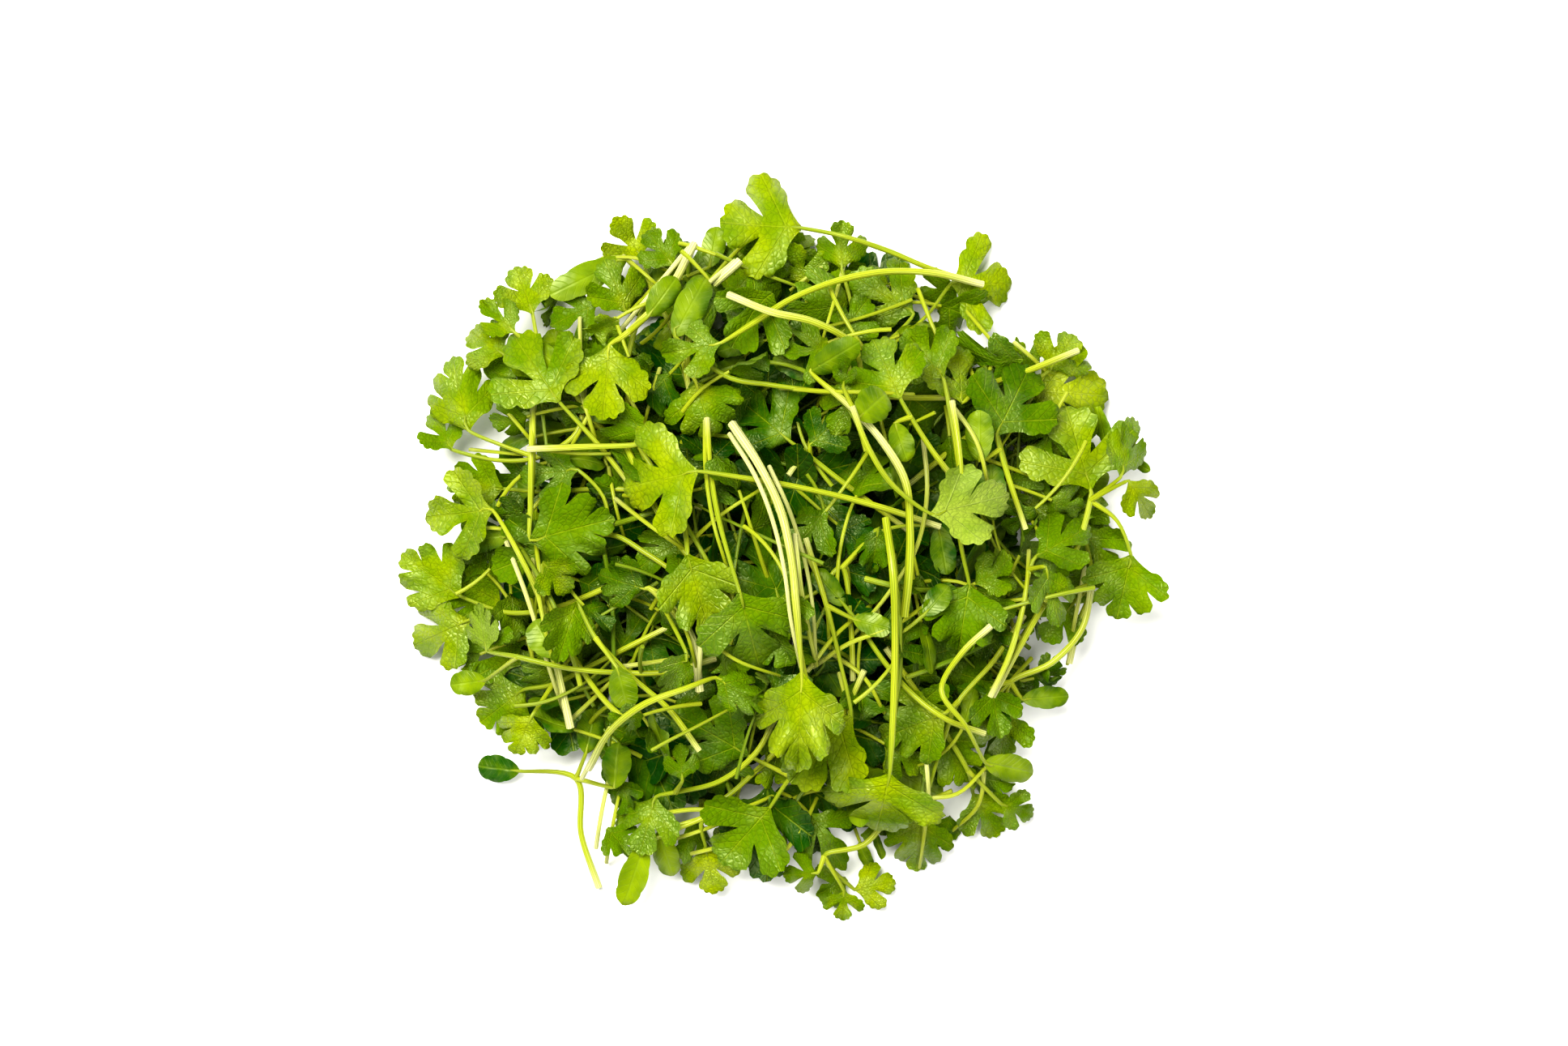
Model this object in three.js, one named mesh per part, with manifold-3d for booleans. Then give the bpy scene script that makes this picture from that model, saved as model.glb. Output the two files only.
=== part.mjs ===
// Loose heap of cut celery microgreens lying on a flat surface.
// Millimetres, +Z up. X and Y are the plan of the heap as seen from above, +Y away from the viewer.
// Each sprig is a cut stem that parts at a crown into stalks, and each stalk ends in a blade.
// The sprigs are laid down one after another, lowest first, and each one rests over what lies there.
import * as THREE from "three";
import { mergeVertices } from "three/addons/utils/BufferGeometryUtils.js";
import Module from "manifold-3d";

const wasm = await Module();
wasm.setup();

// Driving sizes in millimetres
const BLADE_THICK = 0.6;
const CUT_RADIUS = 0.68;
const CROWN_RADIUS = 0.56;
const STALK_RADIUS = 0.48;
const LEAF_BASE_RADIUS = 0.4;
const SUNK_RADIUS = 0.18;
const POINTED = 1.12;
const GAP = 0.42;
const RING_STEP = 9;
const SAMPLE_STEP = 0.8;
const CROWN_REACH = 3;
const GROWTH = 1.1;

// Mound that the inner tangle holds up under the sprigs
const MOUND_HEIGHT = 25;
const MOUND_RADIUS = 68;
const MOUND_X = -1;
const MOUND_Y = 0;

// Height map of what is already laid down, in square cells
const CELL = 0.6;
const HALF_MAP = 96;
const MAP_CELLS = Math.round((2 * HALF_MAP) / CELL);
const laid = new Float64Array(MAP_CELLS * MAP_CELLS);

const STEEPEST = 0.34;
const FOLLOW = 0.7;
const TIGHTEST_BEND = 11;
const SUNK_SHARE = 0.2;
const PALM = 0.33;
const SHORTEST_EDGE = 0.02;

// Half outlines as distance along and out from the midrib, in blade lengths, from base to tip
const LOBED_HALF = [
  [0, 0.05],
  [0.18, 0.39],
  [0.47, 0.61],
  [0.72, 0.44],
  [0.52, 0.17],
  [0.8, 0.31],
  [0.96, 0.18],
];
const SEED_HALF = [
  [0, 0.05],
  [0.3, 0.2],
  [0.65, 0.22],
  [0.92, 0.12],
];
const LOBED_SPREAD = 1.22;
const SEED_SPREAD = 0.44;

// Seeded random numbers between 0 and 1
function makeRandom(seed) {
  let state = seed >>> 0;
  return () => {
    state = (state + 0x6d2b79f5) >>> 0;
    let t = state;
    t = Math.imul(t ^ (t >>> 15), t | 1);
    t ^= t + Math.imul(t ^ (t >>> 7), t | 61);
    return ((t ^ (t >>> 14)) >>> 0) / 4294967296;
  };
}

function cellOf(value) {
  return Math.min(MAP_CELLS - 1, Math.max(0, Math.floor((value + HALF_MAP) / CELL)));
}

// Greatest height on a map within reach of a plan point
function highest(map, x, y, reach) {
  let top = 0;
  for (let i = cellOf(x - reach); i <= cellOf(x + reach); i += 1) {
    for (let j = cellOf(y - reach); j <= cellOf(y + reach); j += 1) {
      top = Math.max(top, map[i * MAP_CELLS + j]);
    }
  }
  return top;
}

function raise(map, x, y, reach, height) {
  for (let i = cellOf(x - reach); i <= cellOf(x + reach); i += 1) {
    for (let j = cellOf(y - reach); j <= cellOf(y + reach); j += 1) {
      const cell = i * MAP_CELLS + j;
      map[cell] = Math.max(map[cell], height);
    }
  }
}

function moundAt(x, y) {
  const share = ((x - MOUND_X) ** 2 + (y - MOUND_Y) ** 2) / MOUND_RADIUS ** 2;
  if (share >= 1) {
    return 0;
  }
  return MOUND_HEIGHT * (1 - share) ** 0.8;
}

// Lowest centre height at a plan point for something that reaches half below its centre
function restHeight(map, x, y, reach, half, level) {
  const below = highest(map, x, y, reach);
  const held = level * moundAt(x, y);
  const over = below > 0 ? below + GAP : 0;
  return Math.max(over, held) + half;
}

// Point of the curve through all the plan points, by span and share of the span
function curvePoint(points, span, t) {
  const a = points[Math.max(span - 1, 0)];
  const b = points[span];
  const c = points[span + 1];
  const d = points[Math.min(span + 2, points.length - 1)];
  return [0, 1].map((k) => {
    const linear = c[k] - a[k];
    const square = 2 * a[k] - 5 * b[k] + 4 * c[k] - d[k];
    const cube = 3 * b[k] - a[k] - 3 * c[k] + d[k];
    return 0.5 * (2 * b[k] + linear * t + square * t * t + cube * t * t * t);
  });
}

// Evenly spaced plan points along some spans of the curve, both ends included
function evenPath(points, firstSpan, endSpan) {
  const dense = [];
  for (let span = firstSpan; span < endSpan; span += 1) {
    for (let part = 0; part < 12; part += 1) {
      dense.push(curvePoint(points, span, part / 12));
    }
  }
  dense.push(curvePoint(points, endSpan - 1, 1));
  const far = [0];
  for (let i = 1; i < dense.length; i += 1) {
    far.push(far[i - 1] + Math.hypot(dense[i][0] - dense[i - 1][0], dense[i][1] - dense[i - 1][1]));
  }
  const total = far[far.length - 1];
  const count = Math.max(1, Math.round(total / RING_STEP));
  const even = [];
  let i = 1;
  for (let step = 0; step <= count; step += 1) {
    const target = (total * step) / count;
    while (i < far.length - 1 && far[i] < target) {
      i += 1;
    }
    const t = (target - far[i - 1]) / (far[i] - far[i - 1]);
    even.push([0, 1].map((k) => dense[i - 1][k] * (1 - t) + dense[i][k] * t));
  }
  return even;
}

// Samples along the chords of a strand: plan point, radius, distance, chord and share of the chord
function strandSamples(rings) {
  const samples = [];
  let start = 0;
  for (let i = 0; i + 1 < rings.length; i += 1) {
    const [a, b] = [rings[i], rings[i + 1]];
    const length = Math.hypot(b.x - a.x, b.y - a.y);
    const parts = Math.max(1, Math.ceil(length / SAMPLE_STEP));
    const last = i + 2 === rings.length ? parts : parts - 1;
    for (let j = 0; j <= last; j += 1) {
      const t = j / parts;
      samples.push({
        x: a.x * (1 - t) + b.x * t,
        y: a.y * (1 - t) + b.y * t,
        radius: a.radius * (1 - t) + b.radius * t,
        far: start + length * t,
        chord: i,
        share: t,
      });
    }
    start += length;
  }
  return samples;
}

// Sets the heights of the rings so the strand lies taut over what is under it.
// A first height that is given stays; the last ring is not lower than lastLeast.
function layStrand(rings, crown, level, first, lastLeast) {
  const samples = strandSamples(rings);
  for (const s of samples) {
    const nearCrown = crown >= 0 && Math.hypot(s.x - rings[crown].x, s.y - rings[crown].y) < 0.5;
    const reach = nearCrown ? CROWN_REACH : s.radius + SAMPLE_STEP;
    s.need = restHeight(laid, s.x, s.y, reach, s.radius * POINTED, level);
  }
  if (first !== null) {
    samples[0].need = first;
  }
  const end = samples[samples.length - 1];
  end.need = Math.max(end.need, lastLeast);
  const taut = [];
  for (const s of samples) {
    while (taut.length > 1) {
      const [a, b] = [taut[taut.length - 2], taut[taut.length - 1]];
      if ((b.need - a.need) * (s.far - a.far) > (s.need - a.need) * (b.far - a.far)) {
        break;
      }
      taut.pop();
    }
    taut.push(s);
  }
  let at = 1;
  const heightAt = (far) => {
    while (at < taut.length - 1 && taut[at].far < far) {
      at += 1;
    }
    const [a, b] = [taut[at - 1], taut[at]];
    return a.need + ((b.need - a.need) * (far - a.far)) / (b.far - a.far);
  };
  let far = 0;
  rings.forEach((ring, i) => {
    if (i > 0) {
      far += Math.hypot(ring.x - rings[i - 1].x, ring.y - rings[i - 1].y);
    }
    ring.z = heightAt(far);
  });
  const lift = rings.map(() => 0);
  for (const s of samples) {
    const [a, b] = [rings[s.chord], rings[s.chord + 1]];
    const short = s.need - (a.z * (1 - s.share) + b.z * s.share);
    const fixed = first !== null && s.chord === 0;
    const wanted = fixed ? short / Math.max(s.share, 0.25) : short;
    lift[s.chord + 1] = Math.max(lift[s.chord + 1], wanted);
    if (!fixed) {
      lift[s.chord] = Math.max(lift[s.chord], short);
    }
  }
  rings.forEach((ring, i) => {
    ring.z += lift[i];
  });
  if (first === null) {
    stiffen(rings);
  }
}

// Raises the lower neighbours of sharp bends until no bend is tighter than a stem can take
function stiffen(rings) {
  for (let pass = 0; pass < 40; pass += 1) {
    for (let i = 1; i + 1 < rings.length; i += 1) {
      const [a, b, c] = [rings[i - 1], rings[i], rings[i + 1]];
      const step = (Math.hypot(b.x - a.x, b.y - a.y) + Math.hypot(c.x - b.x, c.y - b.y)) / 2;
      const over = b.z - (a.z + c.z) / 2 - (step * step) / (2 * TIGHTEST_BEND);
      if (over > 0) {
        a.z += a.z < b.z ? over / 2 : 0;
        c.z += c.z < b.z ? over / 2 : 0;
      }
    }
  }
}

function raiseStrand(map, rings) {
  for (const s of strandSamples(rings)) {
    const [a, b] = [rings[s.chord], rings[s.chord + 1]];
    const z = a.z * (1 - s.share) + b.z * s.share;
    raise(map, s.x, s.y, s.radius + SAMPLE_STEP / 2, z + s.radius * POINTED);
  }
}

// A blade: plan frame, outline corners and the corner at its palm
function makeBlade(shoot) {
  const base = shoot.path[shoot.path.length - 1];
  const grown = shoot.kind === "lobed" ? GROWTH : 1;
  const dx = grown * (shoot.tip[0] - base[0]);
  const dy = grown * (shoot.tip[1] - base[1]);
  const length = Math.hypot(dx, dy);
  const half = shoot.kind === "lobed" ? LOBED_HALF : SEED_HALF;
  const spread = shoot.kind === "lobed" ? LOBED_SPREAD : SEED_SPREAD;
  const wide = (grown * shoot.width) / (spread * length);
  const outline = [];
  half.forEach(([u, v]) => outline.push([u, -v]));
  outline.push([1, 0]);
  [...half].reverse().forEach(([u, v]) => outline.push([u, v]));
  const blade = { base, length, wide, along: [dx / length, dy / length], ...shoot.shape };
  blade.corners = outline.map(([u, v]) => bladeCorner(blade, u, v));
  blade.palm = bladeCorner(blade, PALM, 0);
  return blade;
}

// Plan point of a blade and the height of its form over its own base plane
function bladeCorner(blade, u, v) {
  const out = v * blade.wide;
  const [ax, ay] = blade.along;
  return {
    u,
    out,
    x: blade.base[0] + blade.length * (u * ax - out * ay),
    y: blade.base[1] + blade.length * (u * ay + out * ax),
    form: blade.length * (blade.cup * out * out - blade.droop * u * u),
  };
}

// Even samples over the facets of a blade, mixing the corner values linearly
function bladeSamples(blade) {
  const samples = [];
  const { corners, palm } = blade;
  corners.forEach((a, i) => {
    const b = corners[(i + 1) % corners.length];
    const longest = Math.max(
      Math.hypot(a.x - b.x, a.y - b.y),
      Math.hypot(a.x - palm.x, a.y - palm.y),
      Math.hypot(b.x - palm.x, b.y - palm.y),
    );
    const parts = Math.max(1, Math.ceil(longest / SAMPLE_STEP));
    for (let m = 0; m <= parts; m += 1) {
      for (let n = 0; n + m <= parts; n += 1) {
        const [p, q] = [m / parts, n / parts];
        const mix = (key) => palm[key] + (a[key] - palm[key]) * p + (b[key] - palm[key]) * q;
        samples.push({ x: mix("x"), y: mix("y"), u: mix("u"), out: mix("out"), form: mix("form") });
      }
    }
  });
  return samples;
}

// Slopes along and across that best follow what lies under the blade
function groundSlopes(map, blade, samples, level) {
  let [n, su, sv, sz, suu, suv, svv, suz, svz] = [0, 0, 0, 0, 0, 0, 0, 0, 0];
  for (const s of samples) {
    const u = s.u * blade.length;
    const v = s.out * blade.length;
    const z = Math.max(highest(map, s.x, s.y, 0), level * moundAt(s.x, s.y));
    n += 1;
    su += u;
    sv += v;
    sz += z;
    suu += u * u;
    suv += u * v;
    svv += v * v;
    suz += u * z;
    svz += v * z;
  }
  const uu = suu - (su * su) / n;
  const vv = svv - (sv * sv) / n;
  const uv = suv - (su * sv) / n;
  const uz = suz - (su * sz) / n;
  const vz = svz - (sv * sz) / n;
  const down = uu * vv - uv * uv;
  const limit = (value) => Math.min(STEEPEST, Math.max(-STEEPEST, FOLLOW * value));
  return [limit((uz * vv - vz * uv) / down), limit((vz * uu - uz * uv) / down)];
}

// Tilts a blade to what lies under it and lifts it clear
function layBlade(map, blade, level) {
  const samples = bladeSamples(blade);
  const [along, across] = blade.flat ? [0, 0] : groundSlopes(map, blade, samples, level);
  blade.slopeAlong = along + blade.pitch;
  blade.slopeAcross = across + blade.roll;
  const steep = Math.hypot(
    Math.abs(blade.slopeAlong) + 2 * Math.abs(blade.droop),
    Math.abs(blade.slopeAcross) + 1.2 * Math.abs(blade.cup) * blade.wide,
  );
  blade.halfThick = (BLADE_THICK / 2) * Math.sqrt(1 + steep * steep);
  if (blade.flat) {
    blade.halfThick = LEAF_BASE_RADIUS * POINTED;
  }
  blade.height = 0;
  let lift = -1e9;
  for (const s of samples) {
    const need = restHeight(map, s.x, s.y, SAMPLE_STEP, blade.halfThick, level);
    lift = Math.max(lift, need - bladeHeight(blade, s));
  }
  blade.height = lift;
}

function bladeHeight(blade, corner) {
  const { u, out, form } = corner;
  return blade.height + blade.length * (blade.slopeAlong * u + blade.slopeAcross * out) + form;
}

function raiseBlade(map, blade) {
  for (const s of bladeSamples(blade)) {
    raise(map, s.x, s.y, SAMPLE_STEP, bladeHeight(blade, s) + blade.halfThick);
  }
}

// Rings with radii along part of a strand, its thickness running evenly between two radii
function ringsAlong(points, firstSpan, endSpan, from, to) {
  const even = evenPath(points, firstSpan, endSpan);
  return even.map(([x, y], i) => {
    const t = i / (even.length - 1);
    return { x, y, z: 0, radius: from * (1 - t) + to * t };
  });
}

// Lays a sprig and returns its strands and blades.
// Its blades clear its own parts too, and its strands clear only the other sprigs.
function laySprig(sprig) {
  const { level, stem, shoots } = sprig;
  const crownSpan = stem.length - 1;
  const strands = [];
  const withOwn = laid.slice();
  const blades = shoots.map((shoot) => makeBlade(shoot));
  const leafEnd = (blade) => bladeHeight(blade, { u: 0, out: 0, form: 0 });
  const settle = (rings, blade) => {
    blade.height += rings[rings.length - 1].z - leafEnd(blade);
    const palm = bladeHeight(blade, blade.palm);
    const share = SUNK_SHARE / PALM;
    rings.push({
      x: blade.base[0] + blade.length * SUNK_SHARE * blade.along[0],
      y: blade.base[1] + blade.length * SUNK_SHARE * blade.along[1],
      z: leafEnd(blade) * (1 - share) + palm * share,
      radius: SUNK_RADIUS,
    });
  };
  const thick = sprig.thick;
  const points = blades.length ? [...stem, ...shoots[0].path] : stem;
  const rings = ringsAlong(points, 0, crownSpan, CUT_RADIUS * thick, CROWN_RADIUS * thick);
  const crown = rings.length - 1;
  if (blades.length) {
    const outer = ringsAlong(points, crownSpan, points.length - 1, CROWN_RADIUS * thick, LEAF_BASE_RADIUS);
    rings.push(...outer.slice(1));
    layBlade(withOwn, blades[0], level);
    layStrand(rings, crown, level, null, leafEnd(blades[0]));
    settle(rings, blades[0]);
    raiseBlade(withOwn, blades[0]);
  } else {
    layStrand(rings, -1, level, null, 0);
  }
  raiseStrand(withOwn, rings);
  strands.push({ rings, sides: 5 });
  blades.slice(1).forEach((blade, i) => {
    const start = rings[crown];
    const path = [[start.x, start.y], ...shoots[i + 1].path];
    const side = ringsAlong(path, 0, path.length - 1, STALK_RADIUS, LEAF_BASE_RADIUS);
    layBlade(withOwn, blade, level);
    layStrand(side, -1, level, start.z, leafEnd(blade));
    settle(side, blade);
    raiseBlade(withOwn, blade);
    raiseStrand(withOwn, side);
    strands.push({ rings: side, sides: 4 });
  });
  laid.set(withOwn);
  return { strands, blades };
}

// Closed tube bent along the rings, with one corner of every ring straight below its centre
function tubeGeometry({ rings, sides }) {
  const tube = new THREE.CylinderGeometry(1, 1, rings.length - 1, sides, rings.length - 1);
  const position = tube.getAttribute("position");
  const centres = rings.map((ring) => new THREE.Vector3(ring.x, ring.y, ring.z));
  const frames = rings.map((ring, i) => {
    const before = centres[Math.max(i - 1, 0)];
    const after = centres[Math.min(i + 1, rings.length - 1)];
    const ahead = after.clone().sub(before).normalize();
    const side = new THREE.Vector3(-ahead.y, ahead.x, 0).normalize();
    return { side, up: ahead.clone().cross(side) };
  });
  for (let i = 0; i < position.count; i += 1) {
    const level = Math.round(position.getY(i) + (rings.length - 1) / 2);
    const point = centres[level]
      .clone()
      .addScaledVector(frames[level].side, position.getX(i) * rings[level].radius)
      .addScaledVector(frames[level].up, -position.getZ(i) * rings[level].radius);
    position.setXYZ(i, point.x, point.y, point.z);
  }
  return tube;
}

// Closed blade whose upper and lower faces are split into the same facets
function bladeGeometry(blade) {
  const all = [...blade.corners, blade.palm];
  const palm = blade.corners.length;
  const count = all.length;
  const position = [];
  for (const side of [1, -1]) {
    for (const corner of all) {
      position.push(corner.x, corner.y, bladeHeight(blade, corner) + side * blade.halfThick);
    }
  }
  const index = [];
  for (let i = 0; i < palm; i += 1) {
    const j = (i + 1) % palm;
    index.push(palm, i, j);
    index.push(palm + count, j + count, i + count);
    index.push(i, i + count, j + count);
    index.push(i, j + count, j);
  }
  const geometry = new THREE.BufferGeometry();
  geometry.setAttribute("position", new THREE.Float32BufferAttribute(position, 3));
  geometry.setIndex(index);
  return geometry;
}

function solidFrom(geometry) {
  geometry.deleteAttribute("normal");
  geometry.deleteAttribute("uv");
  const merged = mergeVertices(geometry, 1e-4);
  return new wasm.Manifold(
    new wasm.Mesh({
      numProp: 3,
      vertProperties: new Float32Array(merged.getAttribute("position").array),
      triVerts: new Uint32Array(merged.index.array),
    }),
  );
}

function geometryFrom(solid) {
  const mesh = solid.getMesh();
  const geometry = new THREE.BufferGeometry();
  geometry.setAttribute("position", new THREE.BufferAttribute(new Float32Array(mesh.vertProperties), 3));
  geometry.setIndex(new THREE.BufferAttribute(new Uint32Array(mesh.triVerts), 1));
  geometry.computeVertexNormals();
  return geometry;
}

// Bent, cupped and tilted forms of the blades come from their own seeded numbers
const formRandom = makeRandom(2371);
function form(given) {
  const shape = {
    droop: -0.06 + 0.32 * formRandom(),
    cup: -0.4 + 0.8 * formRandom(),
    pitch: -0.2 + 0.4 * formRandom(),
    roll: -0.28 + 0.56 * formRandom(),
    flat: false,
  };
  return { ...shape, ...given };
}

// A shoot: stalk points from the crown to the blade base, then the tip and full width of the blade
function lobed(path, tip, width, given) {
  return { kind: "lobed", path, tip, width, shape: form(given) };
}

function seed(path, tip, width, given) {
  return { kind: "seed", path, tip, width, shape: form(given) };
}

const sprigs = [];
function sprig(name, level, thick, stem, shoots) {
  sprigs.push({ name, level, thick, stem, shoots });
}

// Foot of the heap: one blade lies flat under the middle, as thick as the end of its stalk
const LEVEL_BLADE = { droop: 0, cup: 0, pitch: 0, roll: 0, flat: true };
sprig("foot_middle", 0, 1, [[24, -14], [12, -9], [4, -5]], [
  lobed([[-2, -1]], [-16, 5], 17, LEVEL_BLADE),
  lobed([[6, 3]], [12, 14], 14, {}),
]);

// Inner sprigs, spread by turns of the golden angle on rising levels
const INNER_COUNT = 8;
const INNER_BLADE = { droop: 0.06, cup: 0.1, pitch: 0, roll: 0 };
const innerRandom = makeRandom(88);
for (let i = 0; i < INNER_COUNT; i += 1) {
  const turn = i * 2.399963 + 0.5 * innerRandom();
  const away = 12 + 24 * Math.sqrt((i % 5) / 5);
  const level = i < 5 ? 0.06 + 0.06 * i : 0.4 + 0.1 * (i - 5);
  const heading = turn + 0.9 * (innerRandom() - 0.5);
  const crown = [away * Math.cos(turn), away * Math.sin(turn)];
  const at = (from, direction, distance) => [
    from[0] + distance * Math.cos(direction),
    from[1] + distance * Math.sin(direction),
  ];
  const long = 34 + 12 * innerRandom();
  const stem = [at(crown, heading + Math.PI, long), at(crown, heading + 2.95, long * 0.5), crown];
  const shoots = [0, -1, 1, i % 2 ? 2 : -2].map((side) => {
    const direction = heading + side * (0.85 + 0.25 * innerRandom());
    const base = at(crown, direction, 9 + 8 * innerRandom());
    const tip = at(base, direction + 0.3 * side, 12 + 5 * innerRandom());
    return lobed([base], tip, 15 + 4 * innerRandom(), INNER_BLADE);
  });
  sprig("inner_" + (i + 1), level, 1, stem, shoots);
}

// Rim of the heap, walked round from the north
sprig("rim_north", 0.6, 1, [[2, 14], [10, 26], [15, 36]], [
  lobed([[22, 40], [25.5, 44.3]], [14.7, 51], 13, {}),
  lobed([[14, 45], [12, 52.5]], [12, 60.8], 8.5, {}),
  lobed([[11.3, 39.8]], [16.5, 46.5], 10, {}),
  lobed([[25, 41], [32.7, 50.2]], [43, 50.3], 17, {}),
]);
sprig("rim_east_high", 0.7, 1, [[24, 12], [35, 21], [42, 27.5]], [
  lobed([[47.3, 30]], [61.2, 29.3], 17, {}),
  lobed([[46, 31], [51, 33.8]], [55.5, 40], 11, {}),
]);
sprig("rim_east_low", 0.8, 1.1, [[54.8, -21.2], [57, -12], [59.1, -6.2]], [
  lobed([[58.5, -1], [57.5, 4]], [63, -4.8], 11, {}),
  lobed([[55.5, -9.8]], [50.3, -16.2], 10, {}),
]);
sprig("rim_south_east", 0.9, 1.15, [[58.8, -6.5], [57.5, -13.5], [51, -21], [43.5, -24.5]], [
  lobed([[43.2, -27], [42.8, -30]], [42, -38.3], 10, {}),
  seed([[45.8, -27.8]], [54.8, -27.3], 4, {}),
  lobed([[39.8, -25.5]], [41.3, -33.8], 9, {}),
]);
sprig("rim_south_east_low", 0.6, 1, [[20, -18], [30, -32], [35.5, -41]], [
  lobed([[36.8, -45.8]], [41.3, -53.3], 10, {}),
  lobed([[42, -47.6]], [47.7, -49.8], 7, {}),
]);
sprig("rim_south_right", 0.6, 1, [[46, -12], [39, -22], [33.5, -28]], [
  lobed([[30, -38], [27, -49.5]], [26.3, -59.6], 12, {}),
  lobed([[31, -30]], [20.5, -34.5], 14, {}),
]);
sprig("rim_south_foot", 0.5, 1, [[21, -49.5], [18, -54.3], [8.7, -57.3]], [
  lobed([[8.7, -62], [14.5, -64]], [21.6, -62.7], 8, {}),
  lobed([[7.5, -60.3]], [1.6, -60.6], 7, {}),
  lobed([[9.5, -61.5], [12.5, -64]], [12.2, -69.2], 7, {}),
]);
sprig("rim_south", 0.7, 1, [[4, -33], [-6, -43], [-14, -50]], [
  lobed([[-13.5, -55.5]], [-12, -63.8], 10, {}),
  seed([[-22.2, -52.5]], [-19.8, -61.2], 4.6, {}),
  seed([[-20, -50.5], [-24.8, -54.8]], [-29, -66.8], 5, {}),
]);
sprig("loose_south_west", 0.3, 1.1, [[-33.8, -63.8], [-37.5, -52], [-38, -43]], [
  seed([[-42, -41.3], [-48.8, -41.6]], [-56.8, -40.8], 4.8, {}),
  seed([[-36, -38]], [-34.4, -29.6], 4.6, {}),
  seed([[-33, -46], [-30.5, -44.3]], [-29.7, -35.8], 5.2, {}),
]);
sprig("rim_west_low", 0.7, 1, [[-20, -14], [-32, -20], [-42, -25]], [
  lobed([[-47.5, -26]], [-55.2, -31.8], 14, {}),
  lobed([[-45.8, -30.8]], [-48.8, -37.2], 10, {}),
]);
sprig("rim_west", 0.8, 1, [[-28, -5], [-41, -10.5], [-51, -11.5]], [
  lobed([[-59.5, -8.6]], [-69.8, -1.5], 13, {}),
  lobed([[-57.8, -13]], [-67.8, -17.6], 13, {}),
]);
sprig("rim_west_round", 0.7, 1, [[-14, 8], [-27, 11.5], [-43, 11]], [
  lobed([[-51.5, 11.6]], [-61.2, 12.8], 11, {}),
  seed([[-48, 6], [-50, 3]], [-60, 1.6], 5, {}),
]);
sprig("rim_west_high", 0.8, 1, [[-36, 31], [-37.5, 22], [-45, 17.4]], [
  lobed([[-53, 17], [-61.2, 19]], [-65, 25.6], 8, {}),
  lobed([[-51, 19.5], [-57.8, 22.5]], [-60.8, 34.8], 12.5, {}),
]);
sprig("rim_north_west", 0.6, 1, [[-28, 17], [-37, 28], [-44.5, 37]], [
  lobed([[-51, 36.5]], [-57.2, 40.8], 10, {}),
  lobed([[-45.8, 44.3]], [-48.8, 52.4], 10, {}),
  lobed([[-48.8, 40.5]], [-54.8, 46.2], 7, {}),
]);
sprig("rim_north_left", 0.6, 1, [[-16, 28], [-19, 40], [-23.5, 49]], [
  lobed([[-25.5, 55]], [-30, 61.8], 10, {}),
  seed([[-28.5, 54.6]], [-42.6, 47.8], 5.4, {}),
  lobed([[-19.5, 53.3]], [-24.2, 59.4], 8, {}),
  lobed([[-28, 44.5]], [-32, 53.4], 10, {}),
  seed([[-14.5, 50.5], [-12.8, 53.3]], [-11.3, 61], 4.2, {}),
]);

// Deep blades seen between the upper ones
sprig("deep_north", 0.85, 1, [[24, 4], [13, 12], [6, 17.5]], [
  lobed([[2.3, 20.3]], [-6.3, 27.5], 14, {}),
  lobed([[6, 19.5]], [11.6, 24.8], 9, {}),
]);
sprig("deep_middle", 0.9, 1, [[14, -24], [13.4, -12], [12, -3]], [
  lobed([[6, -8.6], [1, -9.8]], [-5, 4], 13, {}),
  seed([[20, 4], [29.8, 4.6]], [31.4, -4.4], 4.6, {}),
  lobed([[18.6, 4.4]], [17.4, -3.4], 7, {}),
]);
sprig("deep_west", 0.85, 1, [[-12, -9], [-22, -2], [-31, 3]], [
  lobed([[-40, 1.5]], [-52, -3.4], 14, {}),
  lobed([[-33, 12], [-37, 15]], [-47, 14.2], 9, {}),
]);
sprig("deep_south", 0.85, 1, [[16, -22], [10, -34], [2.5, -42]], [
  lobed([[-1.5, -48]], [-9.8, -57.4], 17, {}),
  lobed([[-5.5, -38]], [-18, -30.5], 13, {}),
]);
sprig("deep_south_west", 0.9, 1, [[0, -30], [-3.5, -36.8], [-12, -43.5], [-19, -45]], [
  lobed([[-22.8, -46]], [-25.5, -55.8], 11, {}),
  lobed([[-17.6, -42.5]], [-18, -36.4], 6, {}),
]);

// Upper sprigs, west half
sprig("west_round", 0.95, 1.1, [[-45.5, 28], [-45.6, 18], [-45.8, 8.3]], [
  lobed([[-45.8, 2]], [-31.8, 5.6], 16, {}),
]);
sprig("west_pale_pair", 0.95, 1.35, [[-38.6, -33], [-40.5, -24], [-43.6, -10]], [
  lobed([[-47, -2], [-53, 7.6]], [-64.6, 6.4], 15, {}),
  seed([[-41.2, -19.5]], [-45, -12.8], 6, {}),
  lobed([[-43.2, -2]], [-38.8, -7.2], 8, {}),
]);
sprig("west_long", 0.95, 1, [[-11.3, -19.8], [-19.5, -22.2], [-30, -22.4], [-40.5, -21.3], [-48, -19.5]], [
  lobed([[-54, -18.6]], [-55.6, -10.6], 6, {}),
  seed([[-52, -22], [-54.6, -24.2]], [-61.4, -25.2], 4.4, {}),
]);
sprig("west_inner", 0.95, 1, [[-14.4, -36.8], [-21.6, -27.2], [-27.6, -22.4], [-33.5, -16]], [
  lobed([[-37, -9.4]], [-40, -19.2], 9, {}),
  seed([[-29.4, -21.4]], [-27.4, -29], 5, {}),
]);
sprig("west_stump", 0.95, 1.5, [[-14.3, -25.8], [-15, -18], [-18, -11.6], [-22.4, -7.6]], [
  lobed([[-24.6, -6.9]], [-32.4, -4.6], 9, {}),
  lobed([[-19.4, -15.4], [-16.6, -18.6]], [-20.6, -26], 6, {}),
]);
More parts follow.
